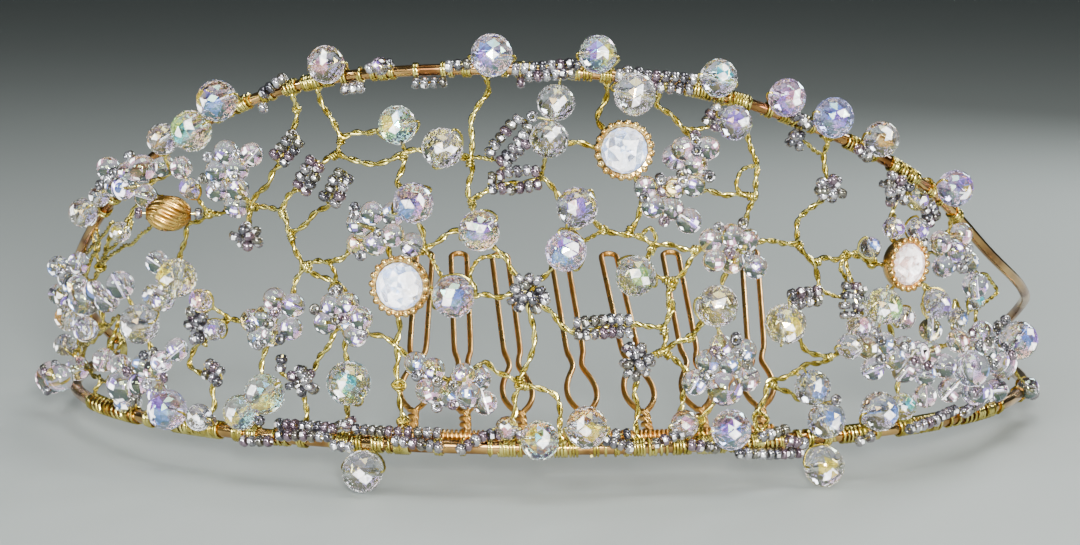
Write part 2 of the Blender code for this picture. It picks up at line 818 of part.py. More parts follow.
def finish(name, colour, roughness, metallic=0.0, transmission=0.0):
    material = bpy.data.materials.new(name)
    material.use_nodes = True
    shader = material.node_tree.nodes["Principled BSDF"]
    shader.inputs["Base Color"].default_value = (*colour, 1.0)
    shader.inputs["Roughness"].default_value = roughness
    shader.inputs["Metallic"].default_value = metallic
    shader.inputs["Transmission Weight"].default_value = transmission
    material.diffuse_color = (*colour, 1.0)
    return material


def add_part(name, mesh, material, rest, place=Matrix.Identity(4), smooth_angle=None):
    mesh.name = name
    mesh.materials.clear()
    mesh.materials.append(material)
    if smooth_angle:
        mesh.shade_smooth()
        mesh.set_sharp_from_angle(angle=smooth_angle)
    part = bpy.data.objects.new(name, mesh)
    bpy.context.scene.collection.objects.link(part)
    part.parent = rest
    part.matrix_basis = place
    return part


def comb_mesh():
    def spine_angle(x):
        return math.asin(x / (HALF_WIDTH + SPINE_PROUD))

    span = [COMB_FROM_X + (COMB_TO_X - COMB_FROM_X) * i / SPINE_STEPS for i in range(SPINE_STEPS + 1)]
    spine = [wall_point(spine_angle(x), SPINE_HEIGHT, SPINE_PROUD) for x in span]
    meshes = [tube_mesh(spine, SPINE_RADIUS)]
    for across, lean in TEETH:
        root = wall_point(spine_angle(across * MM), SPINE_HEIGHT, SPINE_PROUD)
        along = Vector((lean * MM, TOOTH_BACK, TOOTH_RISE)).normalized()
        side = along.cross(Vector((0, 0, 1))).normalized()
        half = [(s * MM, w * MM) for s, w in TOOTH_OUTLINE]
        tip, tip_radius = half[-1]
        turn = [math.pi * i / 4 for i in range(1, 4)]
        outline = half + [(tip + tip_radius * math.sin(t), tip_radius * math.cos(t)) for t in turn]
        outline += [(s, -w) for s, w in reversed(half)]
        loop = [root + along * s + side * w for s, w in outline]
        meshes.append(tube_mesh(loop, TOOTH_WIRE_RADIUS))
        stem_end = root + along * (half[0][0] + TOOTH_STEM_OVERLAP)
        meshes.append(tube_mesh([root, stem_end], TOOTH_STEM_RADIUS))
    return fused("comb", meshes)


def net_mesh(lines, stems):
    # the sprigs pass through the same points at their knots, and the stems start inside them
    return fused("wire_net", [tube_mesh(line, WIRE_RADIUS) for line in lines + stems])


def upright(direction):
    return Vector((0, 0, 1)).rotation_difference(direction).to_matrix().to_4x4()


def add_piece(piece, axes, materials, rest, rng):
    if piece.kind == "cluster":
        balls = []
        for centre, radius in piece.balls:
            turn = Euler([rng.uniform(0, math.pi) for _ in range(3)])
            balls.append(ball_mesh(radius, centre, turn))
        look = "crystal" if piece.name.startswith("crystal") else "bubble"
        add_part(piece.name, fused(piece.name, balls), materials[look], rest)
        return
    place = Matrix.Translation(piece.centre)
    if piece.kind == "stone":
        mesh = stone_mesh(piece.stone_radius, piece.radius)
        facing = upright(outward(wall_place(piece.centre)[0]))
        back = Matrix.Translation(Vector((0, 0, -piece.radius)))
        add_part(piece.name, mesh, materials["stone"], rest, place @ facing @ back)
        return
    axis = piece.rail_frame()[1] if piece.rail else axes[piece.name]
    if piece.kind == "fluted":
        mesh, look = fluted_mesh(piece.radius), "gold"
    else:
        mesh, look = bead_mesh(piece.radius), "crystal"
    add_part(piece.name, mesh, materials[look], rest, place @ upright(axis))


def stand_on_floor(rest):
    # the lowest point meets the floor and the middle of the outline stands over the origin
    bpy.context.view_layer.update()
    corners = []
    for part in rest.children:
        places = np.empty(len(part.data.vertices) * 3)
        part.data.vertices.foreach_get("co", places)
        world = np.array(part.matrix_world)
        corners.append(places.reshape(-1, 3) @ world[:3, :3].T + world[:3, 3])
    every = np.concatenate(corners)
    low, high = every.min(axis=0), every.max(axis=0)
    rest.location = (-(low[0] + high[0]) / 2, -(low[1] + high[1]) / 2, -low[2])


def main():
    for old in list(bpy.data.objects):
        bpy.data.objects.remove(old)
    rng = random.Random(CHANCE_SEED)
    rest = bpy.data.objects.new("tiara_rest", None)
    bpy.context.scene.collection.objects.link(rest)
    rest.rotation_euler = (-REST_TILT, 0.0, 0.0)
    materials = {
        "rail": finish("rail_gilt", (0.58, 0.36, 0.12), 0.28, metallic=1.0),
        "gold": finish("bright_gold", (0.85, 0.62, 0.22), 0.22, metallic=1.0),
        "comb": finish("comb_gilt", (0.62, 0.36, 0.13), 0.3, metallic=1.0),
        "crystal": finish("cut_crystal", (0.82, 0.84, 0.92), 0.03, transmission=0.8),
        "bubble": finish("bubble_glass", (0.72, 0.74, 0.86), 0.06, transmission=0.6),
        "stone": finish("stone_in_cup", (0.92, 0.9, 0.8), 0.05, transmission=0.3),
    }
    rails = {"top": rail_line("top"), "base": rail_line("base")}
    for rail, line in rails.items():
        mesh = tube_mesh(line, rail_radius(rail), RAIL_SIDES)
        add_part(f"{rail}_rail", mesh, materials["rail"], rest, smooth_angle=SMOOTH_ANGLE)
    add_part("comb", comb_mesh(), materials["comb"], rest, smooth_angle=SMOOTH_ANGLE)

    pieces = all_pieces()
    settle(pieces, rails)
    lines = [sprig_line(sprig, rng) for sprig in SPRIGS]
    net_points = [point for line in lines for point in line[1:-1]]
    stems = []
    axes = {}
    for piece in pieces:
        if piece.rail or piece.kind == "stone":
            continue
        stem = stem_for(piece, net_points, pieces, rails)
        if stem is None:
            print("no stem reaches", piece.name)
            axes[piece.name] = outward(wall_place(piece.centre)[0])
            continue
        stems.append(list(stem))
        axes[piece.name] = (stem[1] - stem[0]).normalized()
    add_part("wire_net", net_mesh(lines, stems), materials["gold"], rest)
    for piece in pieces:
        add_piece(piece, axes, materials, rest, rng)
    stand_on_floor(rest)


main()
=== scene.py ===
# Looks of the tiara: twisted gold wire, cut crystals with an aurora finish, clusters of glass balls,
# silver seed beads, three foiled stones in beaded cups and a wire comb
import math
import random

import bmesh
import bpy
import numpy as np
from mathutils import Matrix, Vector
from mathutils.kdtree import KDTree


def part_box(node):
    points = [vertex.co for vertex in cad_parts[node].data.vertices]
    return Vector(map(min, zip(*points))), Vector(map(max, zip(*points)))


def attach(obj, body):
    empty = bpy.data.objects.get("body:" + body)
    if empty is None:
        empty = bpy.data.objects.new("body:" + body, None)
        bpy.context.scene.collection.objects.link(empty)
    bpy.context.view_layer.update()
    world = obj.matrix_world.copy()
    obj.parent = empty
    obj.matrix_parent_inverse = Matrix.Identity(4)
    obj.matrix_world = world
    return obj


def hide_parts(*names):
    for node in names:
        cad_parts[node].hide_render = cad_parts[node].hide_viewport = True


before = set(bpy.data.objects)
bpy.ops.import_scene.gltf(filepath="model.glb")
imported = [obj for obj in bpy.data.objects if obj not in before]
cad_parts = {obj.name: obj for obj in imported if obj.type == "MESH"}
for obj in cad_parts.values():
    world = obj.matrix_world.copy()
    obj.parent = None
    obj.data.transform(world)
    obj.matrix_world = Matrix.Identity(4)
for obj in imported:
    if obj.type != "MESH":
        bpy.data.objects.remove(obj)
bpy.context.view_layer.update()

bpy.ops.object.select_all(action="DESELECT")
mm = 0.001
print("frame loaded:", len(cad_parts), "nodes")


# The band: a half oval wall that rails and openwork follow, in its own frame before it is tipped to rest

band = {
    "halfWidth": 75.0 * mm,
    "halfDepth": 68.0 * mm,
    "wrap": math.radians(108.0),
    "railSteps": 26,
    "restTilt": math.radians(2.0),
    "netProud": -1.0 * mm,
    "wire": 0.45 * mm,
    "gap": 0.3 * mm,
}
railRadius = {"base": 1.0 * mm, "top": 0.8 * mm}

topRailHeights = [  # degrees from the front, height in mm over the base rail
    (-108, 2.1), (-90, 13.0), (-75, 20.0), (-60, 30.5), (-45, 41.0), (-30, 48.5), (-8, 51.8),
    (15, 49.0), (30, 43.0), (45, 34.5), (60, 23.0), (75, 16.0), (90, 11.0), (108, 2.1),
]

view = {  # the camera that the photograph was taken with, and that places below are read in
    "distance": 400.0 * mm,
    "elevation": math.radians(6.5),
    "target": Vector((-1.5, -68.0, 24.2)) * mm,
    "focalPixels": 2941.0,
    "centrePixels": (540.0, 272.5),
    "widthPixels": 1080.0,
}


def railHeight(angle):
    angles = np.radians([row[0] for row in topRailHeights])
    heights = np.array([row[1] for row in topRailHeights]) * mm
    slopes = np.gradient(heights, angles)
    angle = min(max(angle, angles[0]), angles[-1])
    i = min(int(np.searchsorted(angles, angle, side="right")) - 1, len(angles) - 2)
    step = angles[i + 1] - angles[i]
    t = (angle - angles[i]) / step
    return float((2 * t**3 - 3 * t**2 + 1) * heights[i] + (t**3 - 2 * t**2 + t) * step * slopes[i]
                 + (3 * t**2 - 2 * t**3) * heights[i + 1] + (t**3 - t**2) * step * slopes[i + 1])


def outward(angle):
    return Vector((math.sin(angle) / band["halfWidth"], -math.cos(angle) / band["halfDepth"], 0)).normalized()


def wallPoint(angle, height, proud=0.0):
    onWall = Vector((band["halfWidth"] * math.sin(angle), -band["halfDepth"] * math.cos(angle), height))
    return onWall + outward(angle) * proud


def wallSpeed(angle):
    return math.hypot(band["halfWidth"] * math.cos(angle), band["halfDepth"] * math.sin(angle))


def wallPlace(point):
    # angle, height and distance proud of the wall
    angle = math.atan2(point.x / band["halfWidth"], -point.y / band["halfDepth"])
    for _ in range(4):
        foot = wallPoint(angle, point.z)
        along = Vector((math.cos(angle) * band["halfWidth"], math.sin(angle) * band["halfDepth"], 0.0))
        angle += (point - foot).dot(along) / along.length_squared
    return angle, point.z, (point - wallPoint(angle, point.z)).dot(outward(angle))


def seenAt(across, down, proud=0.0):
    # angle and height of what shows at a pixel, on the wall grown by proud
    toward = Vector((0.0, math.cos(view["elevation"]), -math.sin(view["elevation"])))
    up = Vector((0.0, math.sin(view["elevation"]), math.cos(view["elevation"])))
    eye = view["target"] - toward * view["distance"]
    ray = toward.copy()
    ray.x += (across - view["centrePixels"][0]) / view["focalPixels"]
    ray -= up * ((down - view["centrePixels"][1]) / view["focalPixels"])
    wide, deep = band["halfWidth"] + proud, band["halfDepth"] + proud
    qa = (ray.x / wide) ** 2 + (ray.y / deep) ** 2
    qb = 2 * (eye.x * ray.x / wide**2 + eye.y * ray.y / deep**2)
    qc = (eye.x / wide) ** 2 + (eye.y / deep) ** 2 - 1
    root = math.sqrt(max(qb * qb - 4 * qa * qc, 0.0))
    hit = eye + ray * ((-qb - root) / (2 * qa))
    return math.atan2(hit.x / wide, -hit.y / deep), hit.z


def spot(across, down, proud):
    angle, height = seenAt(across, down, proud)
    return wallPoint(angle, height, proud)


def railPoint(rail, angle):
    return wallPoint(angle, railHeight(angle) if rail == "top" else 0.0)


def railFrame(rail, angle):
    # a place on the rail with the directions along it, out from the band and up across it
    tangent = (railPoint(rail, angle + 0.01) - railPoint(rail, angle - 0.01)).normalized()
    normal = outward(angle)
    up = normal.cross(tangent)
    return railPoint(rail, angle), tangent, normal, up if up.z > 0 else -up


def onRail(rail, across, down, radius):
    # centre of a bead that lies on the rail and shows at the pixel, and its angle along the band
    seen = spot(across, down, radius)
    angle = wallPlace(seen)[0]
    foot, tangent, normal, up = railFrame(rail, angle)
    reach = railRadius[rail] + radius
    rise = min(max((seen - foot).dot(up) / reach, -0.97), 0.97)
    tilt = math.asin(rise)
    return foot + (normal * math.cos(tilt) + up * math.sin(tilt)) * reach, tangent


def leastProud():
    return band["netProud"] + band["wire"] + band["gap"]


def corners(node):
    # the separate corner points of a CAD node
    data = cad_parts[node].data
    places = np.empty(len(data.vertices) * 3, np.float32)
    data.vertices.foreach_get("co", places)
    return np.unique(np.round(places.reshape(-1, 3).astype(float), 6), axis=0)


def findRest():
    # from the band's own frame to where the tiara rests: tipped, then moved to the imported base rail
    turn = Matrix.Rotation(-band["restTilt"], 4, "X")
    steps = band["railSteps"]
    stations = [railPoint("base", band["wrap"] * (2 * i / steps - 1)) for i in range(steps + 1)]
    middle = sum(stations, Vector()) / len(stations)
    return Matrix.Translation(Vector(corners("base_rail").mean(axis=0)) - turn @ middle) @ turn


rest = findRest()
unrest = rest.inverted()


def bandCorners(node):
    return [unrest @ Vector(row) for row in corners(node)]


def faceOut(point):
    # straight out of the band where the point is
    return outward(wallPlace(point)[0])


def anyTurn(chance):
    return chance.uniform(0, 6.28)


def anyWay(chance, reach):
    return Vector([chance.uniform(-reach, reach) for _ in range(3)])


def blend(first, second, share):
    return [(1 - share) * own + share * part for own, part in zip(first, second)]


# Shader groups that several finishes share

def newGroup(name, inputs, outputs):
    group = bpy.data.node_groups.new(name, "ShaderNodeTree")
    for label, value in inputs.items():
        kind = "NodeSocketFloat" if isinstance(value, float) else "NodeSocketColor"
        socket = group.interface.new_socket(name=label, in_out="INPUT", socket_type=kind)
        socket.default_value = value
    for label, kind in outputs.items():
        group.interface.new_socket(name=label, in_out="OUTPUT", socket_type="NodeSocket" + kind)
    return group, group.nodes.new("NodeGroupInput"), group.nodes.new("NodeGroupOutput")


def setValues(node, values):
    for label, value in values.items():
        node.inputs[label].default_value = value


def addNode(nodes, kind, values=None, **settings):
    node = nodes.new("ShaderNode" + kind)
    for label, value in settings.items():
        setattr(node, label, value)
    setValues(node, values or {})
    return node


def linkAll(links, *rows):
    # each row: a node and its output, then a node and its input
    for start, output, end, entry in rows:
        links.new(start.outputs[output], end.inputs[entry])


def groupPatches():
    # soft irregular patches, such as where gilding has worn or a coating is thicker
    group, start, end = newGroup("softPatches", {"Scale": 300.0, "Edge": 0.12}, {"Mask": "Float"})
    place = addNode(group.nodes, "TexCoord")
    noise = addNode(group.nodes, "TexNoise", {"Detail": 3.0})
    low = addNode(group.nodes, "Math", {0: 0.5}, operation="SUBTRACT")
    high = addNode(group.nodes, "Math", {0: 0.5}, operation="ADD")
    spread = addNode(group.nodes, "MapRange")
    linkAll(group.links, (place, "Object", noise, "Vector"), (start, "Scale", noise, "Scale"),
            (start, "Edge", low, 1), (start, "Edge", high, 1), (noise, "Fac", spread, "Value"),
            (low, "Value", spread, "From Min"), (high, "Value", spread, "From Max"),
            (spread, "Result", end, "Mask"))
    return group


def groupWireMarks():
    # fine drawing marks and small dents on wire
    group, start, end = newGroup("drawnWireMarks", {"Scale": 2500.0, "Dents": 900.0}, {"Height": "Float"})
    place = addNode(group.nodes, "TexCoord")
    fine = addNode(group.nodes, "TexNoise", {"Detail": 2.0})
    dents = addNode(group.nodes, "TexVoronoi")
    both = addNode(group.nodes, "Math", {1: 0.5}, operation="MULTIPLY_ADD")
    linkAll(group.links, (place, "Object", fine, "Vector"), (place, "Object", dents, "Vector"),
            (start, "Scale", fine, "Scale"), (start, "Dents", dents, "Scale"), (fine, "Fac", both, 0),
            (dents, "Distance", both, 2), (both, "Value", end, "Height"))
    return group


def groupAurora():
    # the bead's face colour, its own tint together with its painted highlights and reflections, drifting to a
    # second colour in soft patches
    group, start, end = newGroup(
        "auroraDrift",
        {"Flash": (1, 1, 1, 1), "Second": (0.8, 0.75, 1.0, 1), "Amount": 0.4, "Scale": 500.0},
        {"Color": "Color", "Mask": "Float"})
    place = addNode(group.nodes, "TexCoord")
    noise = addNode(group.nodes, "TexNoise", {"Detail": 1.0})
    spread = addNode(group.nodes, "MapRange", {"From Min": 0.45, "From Max": 0.68})
    amount = addNode(group.nodes, "Math", operation="MULTIPLY")
    mix = addNode(group.nodes, "Mix", data_type="RGBA", blend_type="MULTIPLY")
    linkAll(group.links, (place, "Object", noise, "Vector"), (start, "Scale", noise, "Scale"),
            (noise, "Fac", spread, "Value"), (spread, "Result", amount, 0), (start, "Amount", amount, 1),
            (amount, "Value", mix, "Factor"), (start, "Flash", mix, "A"), (start, "Second", mix, "B"),
            (mix, "Result", end, "Color"), (spread, "Result", end, "Mask"))
    return group


patchesGroup = groupPatches()
marksGroup = groupWireMarks()
auroraGroup = groupAurora()


def useGroup(nodes, group, **values):
    return addNode(nodes, "Group", values, node_tree=group)


def freshMaterial(name):
    material = bpy.data.materials.new(name)
    material.use_nodes = True
    tree = material.node_tree
    return material, tree.nodes, tree.links, tree.nodes["Principled BSDF"]


def colourBy(mask, nodes, links, shader, first, second):
    # the shader's colour goes from the first to the second with the mask
    colour = addNode(nodes, "Mix", {"A": (*first, 1.0), "B": (*second, 1.0)}, data_type="RGBA")
    linkAll(links, (mask, "Mask", colour, "Factor"), (colour, "Result", shader, "Base Color"))


def roughBy(mask, nodes, links, shader, limits):
    rough = addNode(nodes, "MapRange", {"To Min": limits[0], "To Max": limits[1]})
    linkAll(links, (mask, "Mask", rough, "Value"), (rough, "Result", shader, "Roughness"))


# Finishes

metalLooks = {
    "netGold": {"bright": (0.86, 0.76, 0.24), "worn": (0.38, 0.29, 0.04), "rough": (0.14, 0.30),
                "patch": 520.0, "edge": 0.14, "bump": 0.25},
    "railGilt": {"bright": (0.80, 0.50, 0.18), "worn": (0.24, 0.10, 0.03), "rough": (0.10, 0.24),
                 "patch": 150.0, "edge": 0.14, "bump": 0.12},
    "combGilt": {"bright": (0.90, 0.52, 0.13), "worn": (0.46, 0.20, 0.035), "rough": (0.24, 0.42),
                 "patch": 240.0, "edge": 0.14, "bump": 0.2},
    "cupGold": {"bright": (0.94, 0.68, 0.26), "worn": (0.58, 0.32, 0.08), "rough": (0.14, 0.28),
                "patch": 600.0, "edge": 0.14, "bump": 0.2},
    "beadGold": {"bright": (0.92, 0.60, 0.16), "worn": (0.46, 0.21, 0.03), "rough": (0.2, 0.34),
                 "patch": 500.0, "edge": 0.14, "bump": 0.3},
    "stoneFoil": {"bright": (0.96, 0.96, 0.97), "worn": (0.78, 0.76, 0.82), "rough": (0.05, 0.18),
                  "patch": 900.0, "edge": 0.2, "bump": 0.0},
}
marksDepth = 0.03 * mm


def metalFinish(name):
    look = metalLooks[name]
    material, nodes, links, shader = freshMaterial(name)
    shader.inputs["Metallic"].default_value = 1.0
    patches = useGroup(nodes, patchesGroup, Scale=look["patch"], Edge=look["edge"])
    colourBy(patches, nodes, links, shader, look["bright"], look["worn"])
    roughBy(patches, nodes, links, shader, look["rough"])
    if look["bump"]:
        marks = useGroup(nodes, marksGroup)
        bump = addNode(nodes, "Bump", {"Strength": look["bump"], "Distance": marksDepth})
        linkAll(links, (marks, "Height", bump, "Height"), (bump, "Normal", shader, "Normal"))
    return material


glassLooks = {
    "crystalClear": {"second": (0.86, 0.90, 0.92), "amount": 0.5, "scale": 420.0, "rough": (0.0, 0.03),
                     "ior": 1.58, "transmission": 1.0, "film": 240.0, "filmIor": 1.9},
    "crystalViolet": {"second": (0.82, 0.78, 0.96), "amount": 0.6, "scale": 420.0, "rough": (0.0, 0.03),
                      "ior": 1.58, "transmission": 1.0, "film": 190.0, "filmIor": 2.1},
    "crystalGolden": {"second": (0.94, 0.90, 0.70), "amount": 0.6, "scale": 380.0, "rough": (0.0, 0.03),
                      "ior": 1.58, "transmission": 1.0, "film": 320.0, "filmIor": 1.9},
    "bubbleGlass": {"second": (0.90, 0.80, 0.96), "amount": 0.8, "scale": 620.0, "rough": (0.0, 0.03),
                    "ior": 1.52, "transmission": 1.0, "film": 225.0, "filmIor": 1.85},
    "stoneGlass": {"second": (0.88, 0.92, 1.0), "amount": 0.5, "scale": 900.0, "rough": (0.0, 0.04),
                   "ior": 1.6, "transmission": 0.8, "film": 0.0, "filmIor": 1.5},
    "seedSilver": {"second": (0.30, 0.22, 0.28), "amount": 0.8, "scale": 1100.0, "rough": (0.03, 0.14),
                   "ior": 1.5, "transmission": 0.0, "film": 0.0, "filmIor": 1.5, "metallic": 0.85,
                   "coat": 1.0},
}


def glassFinish(name):
    look = glassLooks[name]
    material, nodes, links, shader = freshMaterial(name)
    setValues(shader, {
        "Metallic": look.get("metallic", 0.0), "Coat Weight": look.get("coat", 0.0), "IOR": look["ior"],
        "Transmission Weight": look["transmission"], "Thin Film Thickness": look["film"],
        "Thin Film IOR": look["filmIor"], "Emission Strength": 1.0})
    flash = addNode(nodes, "Attribute", attribute_name="flash")
    aurora = useGroup(nodes, auroraGroup, Second=(*look["second"], 1.0), Amount=look["amount"],
                      Scale=look["scale"])
    roughBy(aurora, nodes, links, shader, look["rough"])
    # the face colour scaled by its alpha is the emission, so the painted highlights, painted reflections and
    # painted glow shine
    glint = addNode(nodes, "VectorMath", operation="SCALE")
    linkAll(links, (flash, "Color", aurora, "Flash"), (aurora, "Color", shader, "Base Color"),
            (flash, "Color", glint, "Vector"), (flash, "Alpha", glint, "Scale"),
            (glint, "Vector", shader, "Emission Color"))
    return material


finishes = {name: metalFinish(name) for name in metalLooks}
finishes.update({name: glassFinish(name) for name in glassLooks})
print("finishes made:", len(finishes))

tints = {
    "clear": (0.96, 0.98, 0.98), "violet": (0.36, 0.18, 1.0), "blue": (0.14, 0.30, 1.0),
    "teal": (0.10, 0.80, 0.95), "green": (0.45, 0.92, 0.30), "yellow": (1.0, 0.80, 0.10),
    "rose": (1.0, 0.45, 0.66), "amber": (0.72, 0.36, 0.08), "smoke": (0.42, 0.40, 0.40),
}


# Tools for modelling

def pickOnly(piece):
    bpy.ops.object.select_all(action="DESELECT")
    piece.select_set(True)
    bpy.context.view_layer.objects.active = piece


def editVertices(piece, chosen):
    # enters edit mode with just the vertices selected for which chosen(co) holds
    pickOnly(piece)
    bpy.ops.object.mode_set(mode="EDIT")
    bpy.ops.mesh.select_mode(type="VERT")
    bpy.ops.mesh.select_all(action="DESELECT")
    shape = bmesh.from_edit_mesh(piece.data)
    for vertex in shape.verts:
        vertex.select = chosen(vertex.co)
    shape.select_flush_mode()
    bmesh.update_edit_mesh(piece.data)


def everywhere(co):
    return True


def leaveEdit():
    bpy.ops.object.mode_set(mode="OBJECT")


def rescale(piece, chosen, *shares):
    # the chosen vertices scaled about the origin
    editVertices(piece, chosen)
    bpy.ops.transform.resize(value=shares, center_override=(0, 0, 0))
    leaveEdit()


def closeOutward():
    # turns all faces outward and ends the edit
    bpy.ops.mesh.select_all(action="SELECT")
    bpy.ops.mesh.normals_make_consistent(inside=False)
    leaveEdit()


def applyModifier(piece, kind, **settings):
    pickOnly(piece)
    modifier = piece.modifiers.new("shaping", kind)
    for label, value in settings.items():
        setattr(modifier, label, value)
    bpy.ops.object.modifier_apply(modifier="shaping")


def smoothShade(piece, degrees=None):
    pickOnly(piece)
    if degrees is None:
        bpy.ops.object.shade_smooth()
    else:
        bpy.ops.object.shade_smooth_by_angle(angle=math.radians(degrees))


def named(piece, name):
    piece.name = name
    piece.data.name = name
    return piece


def copyOf(master, name):
    piece = master.copy()
    piece.data = master.data.copy()
    bpy.context.scene.collection.objects.link(piece)
    return named(piece, name)


def joinAs(name, pieces):
    pickOnly(pieces[0])
    for piece in pieces:
        piece.select_set(True)
    if len(pieces) > 1:
        bpy.ops.object.join()
    return named(bpy.context.active_object, name)


def dress(piece, finish):
    piece.data.materials.clear()
    piece.data.materials.append(finishes[finish])


def keep(piece, slotName, *nodes):
    # puts the piece where the tiara rests, and ties it to the frame
    piece.data.transform(rest)
    piece.data.update()
    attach(piece, "root")
    if nodes:
        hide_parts(*nodes)
    return piece


wireEnds = {"taper": 0.55, "weld": 0.0004 * mm, "crease": 60}


def wirePiece(name, lines, radius, finish, sideSteps=1, taper=False):
    # one mesh of round wires along the lines, with closed ends
    bpy.ops.curve.primitive_nurbs_path_add()
    piece = bpy.context.active_object
    piece.name = name
    curve = piece.data
    curve.splines.clear()
    curve.dimensions = "3D"
    curve.bevel_depth = radius
    curve.bevel_resolution = sideSteps
    curve.use_fill_caps = True
    for line in lines:
        spline = curve.splines.new("POLY")
        spline.points.add(len(line) - 1)
        spline.points.foreach_set("co", [value for point in line for value in (*point, 1.0)])
        for end in (0, -1) if taper else ():
            spline.points[end].radius = wireEnds["taper"]
    piece.matrix_world = Matrix.Identity(4)
    pickOnly(piece)
    bpy.ops.object.convert(target="MESH")
    piece = named(bpy.context.active_object, name)
    bpy.ops.object.mode_set(mode="EDIT")
    bpy.ops.mesh.select_all(action="SELECT")
    bpy.ops.mesh.remove_doubles(threshold=wireEnds["weld"])
    closeOutward()
    smoothShade(piece, wireEnds["crease"])
    dress(piece, finish)
    return piece


def alongCurve(points, step):
    # places about a step apart on a smooth curve through the points
    places = [Vector(point) for point in points]
    ends = [places[0] * 2 - places[1]] + places + [places[-1] * 2 - places[-2]]
    line = []
    for a, b, c, d in zip(ends, ends[1:], ends[2:], ends[3:]):
        count = max(1, math.ceil((c - b).length / step))
        for i in range(count):
            t = i / count
            line.append(((b * 2) + (c - a) * t + (a * 2 - b * 5 + c * 4 - d) * t**2
                         + (b * 3 - a - c * 3 + d) * t**3) * 0.5)
    line.append(places[-1])
    return line


def sideVectors(line):
    tangents = [(b - a).normalized() for a, b in zip(line, line[1:])]
    tangents.append(tangents[-1])
    side = tangents[0].orthogonal().normalized()
    sides = []
    for tangent in tangents:
        side = (side - tangent * side.dot(tangent)).normalized()
        sides.append(side)
    return tangents, sides


def around(tangent, side, angle):
    # the side direction, turned about the tangent
    return side * math.cos(angle) + tangent.cross(side) * math.sin(angle)


def twistedPair(line, spread, pitch, turn=0.0):
    # two strands wound round a line
    tangents, sides = sideVectors(line)
    first, second = [], []
    run = 0.0
    for i, point in enumerate(line):
        if i:
            run += (point - line[i - 1]).length
        across = around(tangents[i], sides[i], turn + 2 * math.pi * run / pitch)
        first.append(point + across * spread)
        second.append(point - across * spread)
    return [first, second]


def coil(line, turns, radius, steps=10, turn=0.0):
    # a helix round a short line
    tangents, sides = sideVectors(line)
    lengths = [0.0]
    for a, b in zip(line, line[1:]):
        lengths.append(lengths[-1] + (b - a).length)
    points = []
    count = max(2, round(turns * steps))
    for i in range(count + 1):
        t = i / count
        along = t * lengths[-1]
        k = min(max(int(np.searchsorted(lengths, along)) - 1, 0), len(line) - 2)
        part = (along - lengths[k]) / max(lengths[k + 1] - lengths[k], 1e-9)
        across = around(tangents[k], sides[k], turn + 2 * math.pi * turns * t)
        points.append(line[k].lerp(line[k + 1], part) + across * radius)
    return points


def turnTo(direction, spin=0.0):
    # a turn that takes +Z to the direction, after a spin about Z
    toward = Vector((0, 0, 1)).rotation_difference(direction).to_matrix().to_4x4()
    return toward @ Matrix.Rotation(spin, 4, "Z")


def placed(centre, axis, size, spin=0.0):
    # takes a unit shape along Z to the centre, along the axis
    return Matrix.Translation(centre) @ turnTo(axis, spin) @ Matrix.Scale(size, 4)


def tintFaces(mesh, colours):
    # one colour for each face, with its painted highlights and reflections, and the strength of its painted
    # glow, kept on its corners
    layer = mesh.color_attributes.new("flash", "FLOAT_COLOR", "CORNER")
    values = np.zeros((len(mesh.loops), 4), np.float32)
    totals = np.empty(len(mesh.polygons), np.int32)
    mesh.polygons.foreach_get("loop_total", totals)
    colours = np.array(colours, np.float32)
    values[:, :colours.shape[1]] = np.repeat(colours, totals, axis=0)
    layer.data.foreach_set("color", values.ravel())


def joinedCopies(name, master, places, finish, colours=None, sparks=None):
    # one mesh with a copy of the master at each place, in its own colour and with one face painted as a
    # glowing white highlight
    data = master.data
    corner = np.array([v.co for v in data.vertices], float)
    normals = np.array([face.normal for face in data.polygons], float)
    faces = [list(face.vertices) for face in data.polygons]
    points, polygons, faceColours = [], [], []
    for index, place in enumerate(places):
        matrix = np.array(place)
        turn = matrix[:3, :3].T
        base = index * len(corner)
        points.append(corner @ turn + matrix[:3, 3])
        polygons += [[base + i for i in face] for face in faces]
        if colours:
            direction, strength = sparks[index]
            shades = [(*colours[index], 0.0)] * len(faces)
            # the face turned most to the lamp is the painted highlight
            shades[int((normals @ turn @ np.array(direction)).argmax())] = (1.0, 1.0, 1.0, strength)
            faceColours += shades
    mesh = bpy.data.meshes.new(name)
    mesh.from_pydata(np.concatenate(points).tolist(), [], polygons)
    if colours:
        tintFaces(mesh, faceColours)
    mesh.polygons.foreach_set("use_smooth", [True] * len(mesh.polygons))
    mesh.update()
    piece = bpy.data.objects.new(name, mesh)
    bpy.context.scene.collection.objects.link(piece)
    dress(piece, finish)
    return piece


# Rails

railLook = {"steps": 150, "sideSteps": 4, "share": 0.98, "short": 0.1 * mm}


def railPiece(rail):
    steps = railLook["steps"]
    line = [railPoint(rail, band["wrap"] * (2 * i / steps - 1)) for i in range(steps + 1)]
    line[-1] = line[-1] - (line[-1] - line[-2]).normalized() * railLook["short"]
    radius = railRadius[rail] * railLook["share"]
    return wirePiece(f"{rail}Rail", [line], radius, "railGilt", railLook["sideSteps"], True)


for rail in ("base", "top"):
    keep(railPiece(rail), "rail_gilt", f"{rail}_rail")
print("rails made")


# Comb: one wire bent out and back for each tooth, and a close winding that binds them into a spine

